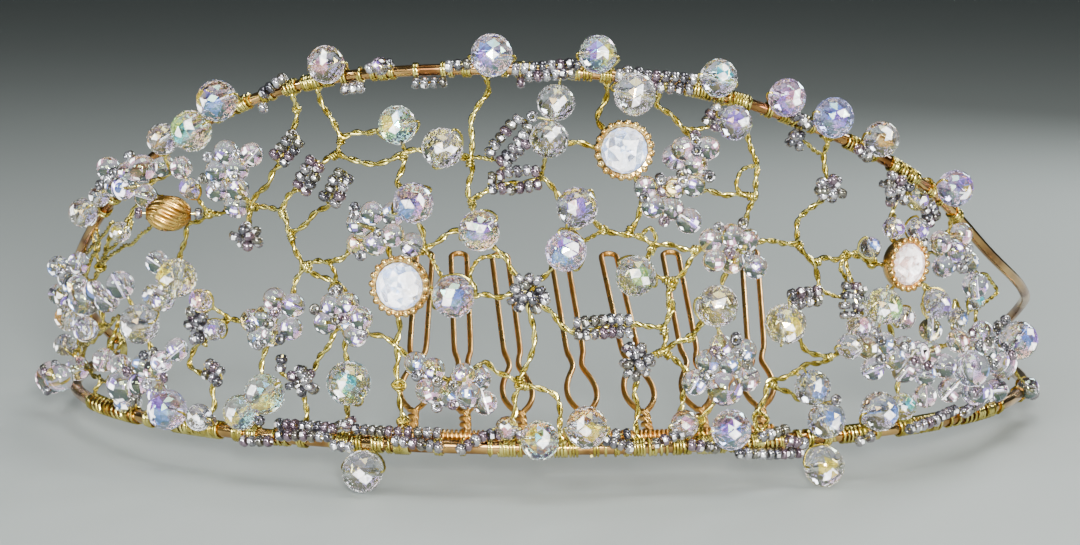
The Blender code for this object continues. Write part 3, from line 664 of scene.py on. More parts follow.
combLook = {
    "teeth": [(-19.2, 0.0), (-11.7, -2.3), (-3.8, -4.0), (5.3, -4.1), (13.5, -4.7), (21.3, -2.9),
              (29.4, 1.5)],  # place along X in mm, lean of the tip in mm
    "fromX": -28.0 * mm, "toX": 31.0 * mm, "spineSteps": 60, "spineSides": 9,
    "spineProud": -1.95 * mm, "spineHeight": 1.15 * mm,
    "back": 50.0 * mm, "rise": 20.7 * mm,
    "wire": 0.43 * mm, "spineCore": 0.5 * mm, "spineWire": 0.24 * mm, "spinePitch": 0.62 * mm,
    "twistLength": 6.4 * mm, "twistPitch": 3.4 * mm, "twistSteps": 26, "twistSpread": (0.98, 0.1),
    "outline": [(6.6, 0.45), (8.2, 1.35), (10.4, 1.98), (13.0, 2.05), (15.6, 1.6), (18.2, 0.85),
                (19.6, 0.66), (21.4, 0.85), (23.5, 1.15), (30.0, 1.2), (40.0, 1.2),
                (51.5, 1.2)],  # mm along, mm half width
    "arcSteps": 8, "step": 0.5 * mm,
}


def spinePoint(x):
    angle = math.asin(x / (band["halfWidth"] + combLook["spineProud"]))
    return wallPoint(angle, combLook["spineHeight"], combLook["spineProud"])


def combTooth(x, lean):
    root = spinePoint(x * mm)
    along = Vector((lean * mm, combLook["back"], combLook["rise"])).normalized()
    side = along.cross(Vector((0, 0, 1))).normalized()
    stem = []
    for i in range(combLook["twistSteps"] + 1):
        t = i / combLook["twistSteps"]
        angle = 2 * math.pi * combLook["twistLength"] * (t - 1) / combLook["twistPitch"]
        least, more = combLook["twistSpread"]
        spread = combLook["wire"] * (least + more * t)
        over = side * math.cos(angle) + side.cross(along) * math.sin(angle)
        stem.append((root + along * combLook["twistLength"] * t, over * spread))
    outline = combLook["outline"]
    tip, tipRadius = outline[-1]
    turns = [math.pi * i / combLook["arcSteps"] for i in range(1, combLook["arcSteps"])]
    halves = outline + [(tip + tipRadius * math.sin(turn), tipRadius * math.cos(turn)) for turn in turns]
    halves += [(s, -w) for s, w in reversed(outline)]
    loop = alongCurve([root + along * s * mm + side * w * mm for s, w in halves], combLook["step"])
    first = [centre + across for centre, across in stem]
    second = [centre - across for centre, across in reversed(stem)]
    return first + loop[1:-1] + second


def combSpine():
    fromX, toX, steps = combLook["fromX"], combLook["toX"], combLook["spineSteps"]
    line = [spinePoint(fromX + (toX - fromX) * i / steps) for i in range(steps + 1)]
    turns = sum((b - a).length for a, b in zip(line, line[1:])) / combLook["spinePitch"]
    return line, coil(line, turns, combLook["spineCore"] + combLook["spineWire"], combLook["spineSides"])


spineLine, spineWinding = combSpine()
combTeeth = [combTooth(x, lean) for x, lean in combLook["teeth"]]
keep(wirePiece("combTeeth", combTeeth, combLook["wire"], "combGilt", 2), "comb_gilt", "comb")
keep(wirePiece("combSpineCore", [spineLine], combLook["spineCore"], "combGilt", 2), "comb_gilt")
keep(wirePiece("combSpineWinding", [spineWinding], combLook["spineWire"], "combGilt", 1), "comb_gilt")
print("comb made")


# Openwork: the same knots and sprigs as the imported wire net, in twisted pairs with fine crinkles

knots = {
    "top_rail_a": (293, 97), "a1": (290, 148), "a2": (251, 207), "a3": (246, 238),
    "a4": (209, 214), "a5": (188, 224), "a6": (179, 270), "a7": (281, 209), "a8": (308, 172),
    "a9": (339, 153), "a10": (290, 232), "a11": (330, 205), "a12": (344, 173),
    "a13": (303, 266), "a14": (292, 300), "a15": (274, 325), "a16": (232, 319),
    "a17": (203, 328), "a18": (190, 365), "a19": (212, 378), "a20": (343, 258),
    "a21": (376, 230), "a22": (344, 289), "a23": (344, 320), "a24": (228, 178),
    "a25": (141, 320), "a26": (157, 362), "a27": (150, 185), "a28": (131, 215),
    "a29": (90, 284), "a30": (105, 325), "a31": (304, 383), "a32": (80, 366),
    "top_rail_b": (165, 158), "base_rail_a": (152, 412), "base_rail_b": (255, 436),
    "base_rail_c": (304, 439), "base_rail_o": (95, 395), "base_rail_p": (210, 429),
    "top_rail_c": (318, 92), "c1": (342, 136), "c3": (395, 128), "c5": (374, 164),
    "c6": (405, 152), "c7": (446, 152), "c8": (397, 182), "c9": (413, 203),
    "top_rail_d": (487, 84), "c10": (471, 122), "c11": (470, 157),
    "c14": (471, 199), "c15": (492, 188), "c16": (541, 178),
    "c17": (574, 212), "c19": (479, 230), "c20": (450, 232),
    "c21": (425, 247), "c22": (402, 275), "c23": (396, 345), "c24": (505, 257),
    "c25": (529, 294), "c26": (566, 250), "c27": (534, 345), "c28": (520, 378),
    "c29": (572, 332), "c30": (602, 328), "c31": (634, 324), "c32": (664, 326),
    "c33": (672, 282), "c34": (700, 250), "c35": (733, 252), "c36": (604, 230),
    "c37": (628, 235), "c38": (654, 245), "c39": (638, 274), "c40": (643, 199),
    "c41": (677, 188), "top_rail_e": (607, 84), "c42": (597, 118), "c43": (622, 150),
    "c45": (550, 139), "top_rail_f": (659, 95), "c46": (682, 128),
    "c47": (696, 150), "top_rail_g": (745, 100), "c48": (745, 128), "c49": (757, 165),
    "c50": (755, 197), "c51": (772, 241), "c52": (796, 242), "c53": (797, 222),
    "c54": (829, 190), "top_rail_h": (828, 128), "c55": (813, 263), "c56": (818, 288),
    "c57": (787, 322), "c58": (846, 255), "c60": (872, 263),
    "c61": (905, 264), "c62": (889, 228), "c63": (896, 190), "top_rail_i": (893, 158),
    "c64": (805, 350), "c65": (833, 356), "c66": (858, 338), "c67": (895, 348),
    "c68": (795, 372), "c69": (768, 382), "c70": (758, 410), "base_rail_d": (757, 440),
    "c71": (800, 400), "c72": (820, 392), "c73": (884, 306), "base_rail_f": (905, 428),
    "c75": (948, 247), "top_rail_j": (955, 212), "c76": (975, 345), "c77": (1012, 342),
    "base_rail_g": (985, 410), "c78": (664, 351), "c79": (690, 338), "c80": (716, 308),
    "c81": (690, 378), "base_rail_h": (677, 440), "c82": (722, 360), "c83": (720, 390),
    "base_rail_i": (702, 440), "c84": (637, 363), "base_rail_j": (637, 440),
    "c85": (399, 385), "base_rail_k": (401, 440), "c86": (448, 380), "c87": (485, 362),
    "c88": (520, 385), "base_rail_l": (510, 440), "c89": (555, 395), "base_rail_m": (560, 440),
    "c90": (453, 297), "c91": (348, 383), "base_rail_n": (345, 440),
}

sprigs = [
    "top_rail_a a1 a2 a3",
    "a2 a4 a5 a6 a25 a26 base_rail_a",
    "a2 a24",
    "a2 a7 a8 a9",
    "a7 a10 a11 a12",
    "a10 a13 a14 a15 base_rail_b",
    "a15 a16 a17 a18 a19 base_rail_p",
    "a13 a20 a21 c22",
    "a13 a22 a23 a31 base_rail_c",
    "a27 a28 a29 a30 a25",
    "a30 a32 base_rail_o",
    "a5 a27 top_rail_b",
    "a23 c91",
    "top_rail_c c1 c3",
    "c1 a9 c5 c6 c7",
    "c6 c8 c9",
    "top_rail_d c10 c11 c7",
    "c11 c14 c15 c16 c17 c26",
    "c14 c19 c20 c21 c9",
    "c21 c22 c23 c85 base_rail_k",
    "c22 c90 c25",
    "a23 c23 c86 c87 c88 base_rail_l",
    "c88 c89 base_rail_m",
    "c19 c24 c25 c26",
    "c25 c27 c28 c88",
    "c25 c29 c30 c31 c32 c33 c34 c35",
    "c17 c36 c37 c38 c34",
    "c38 c39 c33",
    "c37 c40 c41 c50",
    "top_rail_e c42 c43",
    "c45 c43 c40",
    "top_rail_f c46 c47 c41",
    "top_rail_g c48 c49 c50 c35 c51 c52 c53 c54 top_rail_h",
    "c52 c55 c56 c57 c64 c65 c66 c67",
    "c55 c58 c60 c61 c62 c63 top_rail_i",
    "c65 c68 c69 c70 base_rail_d",
    "c69 c71 c72",
    "c67 c73 c61 c75 top_rail_j",
    "c67 base_rail_f",
    "c67 c76 c77",
    "c76 base_rail_g",
    "c35 c80 c82 c83 base_rail_i",
    "c32 c78 c79 c80",
    "c78 c81 base_rail_h",
    "c78 c84 base_rail_j",
    "c91 base_rail_n",
]

netLook = {
    "strand": 0.23 * mm, "spread": 0.22 * mm, "pitch": (3.3 * mm, 4.7 * mm), "step": 0.34 * mm,
    "crinkle": 0.3 * mm, "crinkleEvery": 2.2 * mm, "sway": (0.4, 1.2), "lift": 0.5,
    "kinkPitch": 8.0 * mm, "kinkSway": 1.0 * mm, "kinkSways": (0.5, 1.15), "kinkShift": 0.15,
    "railApproach": 3.2 * mm, "clearOfRail": 2 * mm,
    "knotTurns": 2.6, "knotLead": 0.2 * mm, "knotLength": 1.2 * mm, "knotRadius": 0.5 * mm,
    "bindTurns": 3.4, "bindLength": 1.5 * mm, "bindWire": 0.19 * mm, "bindSteps": 6,
    "strandLead": 0.6 * mm, "strandTouch": 0.15 * mm,
}
stemLook = {"spread": 0.17 * mm, "pitch": 2.2 * mm, "step": 0.3 * mm, "sprigPitch": 2.3 * mm}


def railEnd(name):
    rail = name.split("_")[0]
    angle = seenAt(*knots[name])[0]
    side = -1.0 if rail == "top" else 1.0
    return angle, railPoint(rail, angle).z, side, railRadius[rail] + band["wire"] + band["gap"]


def knotPlace(name):
    angle, height = seenAt(*knots[name], band["netProud"])
    lowest = railRadius["base"] + netLook["clearOfRail"]
    highest = railHeight(angle) - railRadius["top"] - netLook["clearOfRail"]
    return angle, max(min(height, highest), lowest)


def kinked(start, end, chance):
    angleRun, heightRun = end[0] - start[0], end[1] - start[1]
    speed = wallSpeed((start[0] + end[0]) / 2)
    length = math.hypot(angleRun * speed, heightRun)
    kinks = max(1, round(length / netLook["kinkPitch"]))
    across = Vector((-heightRun, angleRun * speed)) / max(length, 1e-9)
    side = chance.choice((-1, 1))
    places = [start]
    for i in range(1, kinks):
        sway = side * netLook["kinkSway"] * chance.uniform(*netLook["kinkSways"])
        side = -side
        t = (i + chance.uniform(-netLook["kinkShift"], netLook["kinkShift"])) / kinks
        places.append((start[0] + angleRun * t + across.x * sway / speed,
                       start[1] + heightRun * t + across.y * sway))
    return places


def sprigLine(sprig, chance):
    names = sprig.split()
    places = []
    tips = {}
    for name in names:
        if "rail" in name:
            angle, height, side, stop = railEnd(name)
            places.append((angle, height + side * netLook["railApproach"]))
            tips[name] = wallPoint(angle, height + side * stop)
        else:
            places.append(knotPlace(name))
    path = []
    for start, end in zip(places, places[1:]):
        path += kinked(start, end, chance)
    path.append(places[-1])
    points = [wallPoint(angle, height, band["netProud"]) for angle, height in path]
    first = [tips[names[0]]] if names[0] in tips else []
    last = [tips[names[-1]]] if names[-1] in tips else []
    return first + points + last


def crinkled(points, chance):
    # the line with small sideways bends added between its own points
    line = [points[0]]
    for start, end in zip(points, points[1:]):
        run = end - start
        bends = max(1, round(run.length / netLook["crinkleEvery"]))
        normal = faceOut(start)
        across = run.cross(normal).normalized()
        side = chance.choice((-1, 1))
        for i in range(1, bends):
            sway = side * netLook["crinkle"] * chance.uniform(*netLook["sway"])
            lift = netLook["crinkle"] * chance.uniform(-netLook["lift"], netLook["lift"])
            line.append(start + run * (i / bends) + across * sway + normal * lift)
            side = -side
        line.append(end)
    return line


def stemWire(points):
    return twistedPair(alongCurve(points, stemLook["step"]), stemLook["spread"], stemLook["pitch"])


def fineSprig(points, chance):
    fine = alongCurve(crinkled(points, chance), netLook["step"])
    return twistedPair(fine, stemLook["spread"], stemLook["sprigPitch"])


chance = random.Random(7)
sprigLines = [sprigLine(sprig, chance) for sprig in sprigs]
netPoints = [point for line in sprigLines for point in line[1:-1]]
netWires = []
goldWires = []  # single fine wires: stems, loops round beads and knots
railCoils = []  # wire wound round the rails
for line in sprigLines:
    fine = alongCurve(crinkled(line, chance), netLook["step"])
    netWires += twistedPair(fine, netLook["spread"], chance.uniform(*netLook["pitch"]), anyTurn(chance))


def nearestNet(point):
    return min(netPoints, key=lambda other: (other - point).length)


def bindRail(rail, angle, turns, length, chance):
    # a short winding of wire round a rail
    half = length / 2 / wallSpeed(angle)
    steps = netLook["bindSteps"]
    core = [railPoint(rail, angle + half * (i / (steps / 2) - 1)) for i in range(steps + 1)]
    return coil(core, turns, railRadius[rail] + netLook["bindWire"] * 0.9, turn=anyTurn(chance))


def bindKnot(end, toward, chance):
    # a few turns of wire where sprigs meet
    core = [end + toward * netLook["knotLead"], end + toward * netLook["knotLength"]]
    return coil(core, netLook["knotTurns"], netLook["knotRadius"], turn=anyTurn(chance))


def bindSprig(name, end, inner, chance):
    # at a rail both strands run on to it and wind round it
    toward = (inner - end).normalized()
    if "rail" not in name:
        goldWires.append(bindKnot(end, toward, chance))
        return
    rail = name.split("_")[0]
    angle = railEnd(name)[0]
    foot, tangent, normal, up = railFrame(rail, angle)
    up = up if rail == "base" else -up
    for side in (-1, 1):
        lean = (up * 0.8 + tangent * side * 0.5).normalized()
        touch = foot + lean * (railRadius[rail] + netLook["strandTouch"])
        netWires.append([end + toward * netLook["strandLead"], end, touch])
    railCoils.append(bindRail(rail, angle, netLook["bindTurns"], netLook["bindLength"], chance))


for sprig, line in zip(sprigs, sprigLines):
    names = sprig.split()
    bindSprig(names[0], line[0], line[1], chance)
    bindSprig(names[-1], line[-1], line[-2], chance)
print("openwork drawn:", len(netWires), "strands")


# Crystals: one cut bead modelled once, with staggered rows of facets, then copied to every packed crystal

crystalLook = {
    "sides": 12, "rings": 9, "bore": 0.16, "endScale": 0.62, "polish": 0.03, "flatten": 0.95, "facet": 8,
    # lean tips the way that the painted glints face, from straight out towards the lamp in front
    "lean": Vector((0, -0.3, 0.1)),
}
ballLook = {"sides": 20, "rings": 14, "bore": 0.12, "endScale": 0.8, "crease": 50}
boreLook = {"depth": 0.985, "sink": 0.6, "flare": 1.6}


def drilledBall(name, sides, rings, bore, endScale, stagger):
    # a ball with unit radius, open along Z through a bore
    bpy.ops.mesh.primitive_uv_sphere_add(segments=sides, ring_count=rings, radius=1.0)
    piece = bpy.context.active_object
    piece.name = name
    editVertices(piece, lambda co: abs(co.z) > 0.9999)
    bpy.ops.mesh.delete(type="VERT")
    leaveEdit()
    heights = sorted({round(v.co.z, 4) for v in piece.data.vertices})
    for height in heights[1::2] if stagger else ():
        editVertices(piece, lambda co: abs(co.z - height) < 0.01)
        bpy.ops.transform.rotate(value=math.pi / sides, orient_axis="Z", center_override=(0, 0, 0))
        leaveEdit()
    for end, height in ((-1, heights[0]), (1, heights[-1])):
        editVertices(piece, lambda co: abs(co.z - height) < 0.01)
        rim = math.sqrt(max(1 - height * height, 1e-6))
        sink = end * (boreLook["depth"] - abs(height)) * boreLook["sink"]
        bpy.ops.mesh.extrude_region_move(TRANSFORM_OT_translate={"value": (0, 0, sink)})
        inner = endScale * bore / rim * boreLook["flare"]
        bpy.ops.transform.resize(value=(inner, inner, 1), center_override=(0, 0, 0))
        leaveEdit()
    low = min(v.co.z for v in piece.data.vertices)
    high = max(v.co.z for v in piece.data.vertices)
    editVertices(piece, lambda co: co.z < low + 1e-4 or co.z > high - 1e-4)
    bpy.ops.mesh.select_mode(type="EDGE")
    bpy.ops.mesh.bridge_edge_loops()
    leaveEdit()
    editVertices(piece, everywhere)
    if stagger:
        bpy.ops.mesh.quads_convert_to_tris(quad_method="SHORTEST_DIAGONAL")
    closeOutward()
    return piece


def crystalMaster():
    shape = [crystalLook[key] for key in ("sides", "rings", "bore", "endScale")]
    piece = drilledBall("crystalMaster", *shape, True)
    rescale(piece, everywhere, 1, 1, crystalLook["flatten"])
    applyModifier(piece, "BEVEL", width=crystalLook["polish"], segments=1, limit_method="ANGLE",
                  angle_limit=math.radians(crystalLook["facet"]))
    return piece


def ballMaster():
    shape = [ballLook[key] for key in ("sides", "rings", "bore", "endScale")]
    piece = drilledBall("ballMaster", *shape, False)
    smoothShade(piece, ballLook["crease"])
    return piece


crystalModel = crystalMaster()
ballModel = ballMaster()

flashNames = {  # flash colours of each crystal in order of its number, strongest first
    "top": ["violet blue yellow", "teal green", "clear rose", "blue violet", "yellow violet", "clear smoke",
            "clear teal", "violet rose", "blue violet", "smoke amber", "violet blue yellow"],
    "net": ["green yellow", "clear smoke", "violet blue", "blue violet", "clear violet", "violet blue",
            "violet blue", "clear green", "clear smoke", "clear yellow", "clear green", "blue violet",
            "clear teal", "clear smoke", "clear yellow"],
    "base": ["blue violet", "clear yellow", "yellow smoke", "violet blue", "clear blue", "clear yellow",
             "clear smoke"],
    "pair": ["clear smoke", "clear blue", "yellow smoke"],
}
crystalTints = {f"crystal_{place}_{number}": names.split()
                for place, rows in flashNames.items() for number, names in enumerate(rows, 1)}
washes = {  # share of the first flash colour in every facet of the strongly coated crystals
    "crystal_top_8": 0.35, "crystal_top_9": 0.5, "crystal_top_11": 0.4, "crystal_base_1": 0.3,
    "crystal_base_4": 0.2, "crystal_net_6": 0.3, "crystal_net_7": 0.2, "crystal_net_3": 0.2,
    "crystal_top_4": 0.15,
}
# painted light on the crystals' facets: a share of facets painted darker as reflections of the dim room, a
# faint painted glow in the clear ones, the coating's colour painted, glowing, on facets turned to the lamp
# and as a painted fringe round them, and glowing white painted highlights
glints = {
    "paintedDark": 0.22, "paintedDarkGrey": (0.38, 0.7), "clearGrey": (0.9, 1.0), "glow": 0.015, "washGlow": (0.0, 0.4),
    "sway": 0.45, "coated": 0.85, "coatedGlow": (0.2, 0.7),
    "fringe": 0.66, "fringeShare": 0.6, "fringeGlow": (0.0, 0.15), "fringeBlend": 0.5,
    "spark": 0.974, "sparkSways": (0.3, 0.7), "sparkGlow": (1.6, 4.0),
}


def flashColours(mesh, names, chance, facing, wash):
    # most facets are clear in the bead's own tint with a faint painted glow, and some are painted darker as
    # reflections of the dim room; the coating's colour is painted, glowing, on the few that face the lamp,
    # and painted white highlights glow on the facets that face it most closely
    normals = [face.normal.copy() for face in mesh.polygons]
    ground = blend(tints["clear"], tints[names[0]], wash)
    colours = []
    for _ in normals:
        paintedDark = chance.random() < glints["paintedDark"]
        grey = chance.uniform(*glints["paintedDarkGrey" if paintedDark else "clearGrey"])
        glow = 0.0 if paintedDark else glints["glow"] + wash * chance.uniform(*glints["washGlow"])
        colours.append((*[grey * part for part in ground], glow))
    for index, name in enumerate(names):
        if name == "clear":
            continue
        toward = (facing + anyWay(chance, glints["sway"])).normalized()
        for i, normal in enumerate(normals):
            seen = normal.dot(toward)
            if seen > glints["coated"] + 0.05 * index:
                colours[i] = (*tints[name], chance.uniform(*glints["coatedGlow"]))
            elif seen > glints["fringe"] + 0.1 * index and chance.random() < glints["fringeShare"]:
                mixed = blend(colours[i], tints[name], glints["fringeBlend"])
                colours[i] = (*mixed, chance.uniform(*glints["fringeGlow"]))
    for sway in glints["sparkSways"]:
        spark = (facing + anyWay(chance, sway)).normalized()
        for i, normal in enumerate(normals):
            if normal.dot(spark) > glints["spark"]:
                colours[i] = (1.0, 1.0, 1.0, chance.uniform(*glints["sparkGlow"]))
    return colours


def glassFor(names):
    if names[0] in ("yellow", "amber", "green"):
        return "crystalGolden"
    return "crystalViolet" if names[0] in ("violet", "blue", "teal", "rose") else "crystalClear"


def crystalAt(name, centre, radius, axis, chance, names, finish=None, wash=0.0):
    piece = copyOf(crystalModel, name)
    piece.data.transform(placed(centre, axis, radius, anyTurn(chance)))
    # the way towards the lamp, where the facets get their painted reflections and highlights
    facing = faceOut(centre) + crystalLook["lean"]
    tintFaces(piece.data, flashColours(piece.data, names, chance, facing, wash))
    dress(piece, finish or glassFor(names))
    return piece


def mainAxes(points):
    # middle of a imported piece's corners, their furthest reach, and its longest and shortest directions
    rows = np.array(points)
    offsets = rows - rows.mean(axis=0)
    values, vectors = np.linalg.eigh(offsets.T @ offsets)
    longest, shortest = (Vector(vectors[:, int(pick)]) for pick in (values.argmax(), values.argmin()))
    return Vector(rows.mean(axis=0)), float(np.linalg.norm(offsets, axis=1).max()), longest, shortest


beadWire = {
    "radius": 0.18 * mm, "clear": 0.2 * mm, "turns": 2.4, "length": 1.1 * mm, "apart": 0.45,
    "coilWire": 0.2 * mm, "arcFrom": -66, "arcSweep": 56, "arcSteps": 6, "mouth": 0.8, "step": 0.35 * mm,
    "footGap": 0.5 * mm, "smallFootGap": 0.4 * mm, "shortest": 0.4 * mm, "railGap": 0.1 * mm,
    "stemReach": 12 * mm,
}


def loopRound(centre, radius, boreAxis, away, foot):
    # a wire from the foot up one side of a bead, through its bore and down the other side
    reach = radius + beadWire["clear"]
    points = [foot]
    for side in (1, -1):
        arc = []
        for i in range(beadWire["arcSteps"] + 1):
            angle = math.radians(beadWire["arcFrom"] + beadWire["arcSweep"] * i / beadWire["arcSteps"])
            arc.append(centre + (boreAxis * side * math.cos(angle) + away * math.sin(angle)) * reach)
        mouth = [centre + boreAxis * side * radius * beadWire["mouth"]]
        points += arc + mouth if side == 1 else mouth + arc[::-1]
    points.append(foot)
    return alongCurve(points, beadWire["step"])


def hungCrystal(centre, radius, axis, chance):
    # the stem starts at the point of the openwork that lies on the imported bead's bore
    def miss(point):
        return (point - centre).cross(axis).length + max((point - centre).length - beadWire["stemReach"], 0)

    start = min(netPoints, key=miss)
    away = (centre - start).normalized()
    bore = away.cross(faceOut(centre))
    bore = (bore if bore.length > 0.3 else away.cross(Vector((0, 0, 1)))).normalized()
    bore = Matrix.Rotation(chance.uniform(-0.5, 0.5), 3, away) @ bore
    foot = centre - away * (radius + beadWire["footGap"])
    if (foot - start).dot(away) > beadWire["shortest"]:
        goldWires.extend(stemWire([start, foot]))
    goldWires.append(loopRound(centre, radius, bore, away, foot))
    return bore


def railCrystal(rail, centre, radius, chance):
    angle = wallPlace(centre)[0]
    foot, bore, normal, up = railFrame(rail, angle)
    away = (centre - foot).normalized()
    foot = foot + away * (railRadius[rail] + beadWire["railGap"])
    goldWires.append(loopRound(centre, radius, bore, away, foot))
    for side in (-1, 1):
        place = angle + side * radius * beadWire["apart"] / wallSpeed(angle)
        railCoils.append(bindRail(rail, place, beadWire["turns"], beadWire["length"], chance))
    return bore


chance = random.Random(21)
taken = []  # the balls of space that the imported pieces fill
packedCrystals = [node for node in sorted(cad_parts)
                  if node.startswith("crystal_") and not node.startswith("crystal_pair")]
for node in packedCrystals:
    centre, radius, axis, _ = mainAxes(bandCorners(node))
    taken.append((centre, radius))
    if node.startswith("crystal_net"):
        bore = hungCrystal(centre, radius, axis, chance)
    else:
        bore = railCrystal("top" if "top" in node else "base", centre, radius, chance)
    piece = crystalAt(node.replace("_", "."), centre, radius, bore, chance, crystalTints[node],
                      wash=washes.get(node, 0.0))
    keep(piece, "cut_crystal", node)
print("crystals made:", len(packedCrystals))


# Clusters and pairs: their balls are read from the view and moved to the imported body's place

ball = 3.3
clusterBalls = [  # across, down, diameter in mm for each ball
    [(60, 378, 5.2), (76, 386, ball), (94, 370, 4.4)],
    [(74, 278, ball), (99, 291, ball), (122, 273, ball), (94, 307, ball), (105, 329, 5.0)],
    [(113, 167, 3.6), (139, 149, ball), (158, 163, 4.0), (136, 189, 3.6), (131, 212, ball)],
    [(143, 365, ball), (166, 357, ball), (166, 372, ball), (138, 386, ball), (115, 386, 5.2)],
    [(226, 152, 3.6), (215, 173, ball), (240, 173, ball), (237, 196, ball), (217, 198, ball)],
    [(274, 299, ball), (263, 319, ball), (245, 340, ball), (277, 347, ball), (295, 327, ball)],
    [(332, 304, ball), (353, 303, ball), (325, 324, ball), (362, 319, ball), (353, 342, ball)],
    [(358, 224, ball), (378, 209, ball), (358, 247, ball), (381, 245, ball), (398, 233, ball)],
    [(416, 363, ball), (439, 371, ball), (463, 371, ball), (427, 396, 3.6), (452, 396, ball),
     (476, 395, 3.6)],
    [(646, 187, ball), (656, 212, ball), (674, 179, ball), (700, 184, ball), (679, 209, ball),
     (697, 160, ball), (680, 144, ball), (712, 143, ball)],
    [(711, 240, ball), (735, 234, ball), (758, 243, ball), (715, 264, ball), (740, 263, ball)],
    [(721, 352, ball), (742, 360, ball), (705, 370, ball), (730, 368, ball), (726, 390, 5.0)],
    [(868, 348, ball), (892, 342, ball), (916, 335, ball), (925, 354, ball), (947, 352, ball),
     (899, 368, ball)],
    [(939, 242, ball), (961, 232, ball), (945, 262, ball), (955, 252, ball)],
    [(978, 332, ball), (985, 355, ball), (963, 350, ball), (967, 374, 5.4), (973, 397, 4.4),
     (1009, 380, 4.0), (1040, 386, 4.6)],
]
pairBalls = [
    [(557, 102, 5.8), (550, 139, 6.0)],
    [(815, 388, 5.8), (829, 420, 6.2)],
    [(263, 393, 6.2), (236, 414, 5.4)],
]
gathering = {"layer": 0.9 * mm, "overlap": 0.5 * mm, "closest": 0.84, "swell": 1.08}


def gathered(rows, layer):
    # each ball is drawn to its nearest placed neighbour until they overlap
    balls = []
    for index, (across, down, diameter) in enumerate(rows):
        radius = diameter * mm / 2
        proud = radius + leastProud() + layer * (index % 2)
        balls.append([spot(across, down, proud), radius])
    placed = [balls[0]]
    waiting = balls[1:]
    while waiting:
        moved, parent = min(((b, p) for b in waiting for p in placed),
                            key=lambda pair: (pair[0][0] - pair[1][0]).length - pair[0][1] - pair[1][1])
        apart = moved[0] - parent[0]
        most = moved[1] + parent[1] - gathering["overlap"]
        least = gathering["closest"] * (moved[1] + parent[1])
        moved[0] = parent[0] + apart.normalized() * min(max(apart.length, least), most)
        placed.append(moved)
        waiting.remove(moved)
    return balls


def movedTo(node, balls):
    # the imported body's box fixes where the whole cluster lies
    swell = gathering["swell"]
    low = Vector([min((rest @ c)[i] - r * swell for c, r in balls) for i in range(3)])
    high = Vector([max((rest @ c)[i] + r * swell for c, r in balls) for i in range(3)])
    first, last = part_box(node)
    step = unrest.to_3x3() @ ((first + last) / 2 - (low + high) / 2)
    return [(centre + step, radius) for centre, radius in balls]


netTree = KDTree(len(corners("wire_net")))
for index, point in enumerate(bandCorners("wire_net")):
    netTree.insert(point, index)
netTree.balance()

# painted light on each glass ball: glowing white painted highlights, a large one towards the lamp and a
# smaller low one, a glowing painted halo of the coating's colour round the large one, faint painted
# reflections of the coating in a ring round it, low on the ball and at its rim, and a faint painted glow on
# the rest
bubbleLook = {
    "sides": 20, "rings": 13, "crease": 25.0, "sway": 0.5, "stemReach": 11.5 * mm, "wireEnd": 0.4 * mm,
    "spark": 0.974, "sparkGlow": 4.5, "halo": 0.93, "haloShare": 0.9, "haloGlow": 0.7, "glow": 0.012,
    "lowSpark": Vector((0.5, 0.0, -1.1)), "lowSparkSize": 0.982, "lowSparkGlow": 2.2,
    "ring": 0.84, "foot": -0.7, "ringShare": 0.35, "edge": 0.2, "edgeShare": 0.2,
}


def stemOf(balls):
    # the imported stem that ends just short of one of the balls: its start, its end and that ball's middle
    best = None
    for centre, radius in balls:
        for point in netPoints:
            apart = centre - point
            if not radius < apart.length < bubbleLook["stemReach"]:
                continue
            end = centre - apart.normalized() * (radius + band["gap"])
            ring = netTree.find_n(end, 5)
            miss = abs(sum(found[2] for found in ring) / 5 - band["wire"])
            if best is None or miss < best[0]:
                best = (miss, point, end, centre)
    return best[1:] if best else None


def bubbleTintAndGlints(outside, toward, tint):
    # two glowing white painted highlights, a painted reflection of the coating's colour round the larger, and
    # faint painted coating reflections low on the ball and at its rim; elsewhere clear glass with a faint
    # painted glow
    look = bubbleLook
    seen = outside.dot(toward)
    if seen > look["spark"]:
        return (1.0, 1.0, 1.0, look["sparkGlow"])
    if outside.dot((toward + look["lowSpark"]).normalized()) > look["lowSparkSize"]:
        return (1.0, 1.0, 1.0, look["lowSparkGlow"])
    if seen > look["halo"]:
        return (*blend(tints["clear"], tint, look["haloShare"]), look["haloGlow"])
    ringed = seen > look["ring"] or outside.z < look["foot"]
    share = look["ringShare"] if ringed else look["edgeShare"] if abs(seen) < look["edge"] else 0.0
    return (*blend(tints["clear"], tint, share), look["glow"])


def bubbles(name, balls, chance):
    # glass balls fused where they touch, each with its own painted highlights and painted reflections of its
    # coating's colour
    parts = []
    for centre, radius in balls:
        turn = [chance.uniform(0, 3.1) for _ in range(3)]
        bpy.ops.mesh.primitive_uv_sphere_add(segments=bubbleLook["sides"], ring_count=bubbleLook["rings"],
                                             radius=radius, location=centre, rotation=turn)
        bpy.ops.object.transform_apply()
        parts.append(bpy.context.active_object)
    piece = parts[0]
    if len(parts) > 1:
        others = joinAs("others", parts[1:])
        applyModifier(piece, "BOOLEAN", operation="UNION", solver="EXACT", use_self=True, object=others)
        bpy.data.objects.remove(others)
    named(piece, name)
    colourNames = [chance.choice(("violet", "rose", "blue", "violet", "rose")) for _ in balls]
    facing = [(faceOut(centre) + anyWay(chance, bubbleLook["sway"])).normalized() for centre, _ in balls]
    colours = []
    for face in piece.data.polygons:
        nearest = min(range(len(balls)), key=lambda i: (face.center - balls[i][0]).length - balls[i][1])
        outside = (face.center - balls[nearest][0]).normalized()
        colours.append(bubbleTintAndGlints(outside, facing[nearest], tints[colourNames[nearest]]))
    tintFaces(piece.data, colours)
    smoothShade(piece, bubbleLook["crease"])
    dress(piece, "bubbleGlass")
    return piece


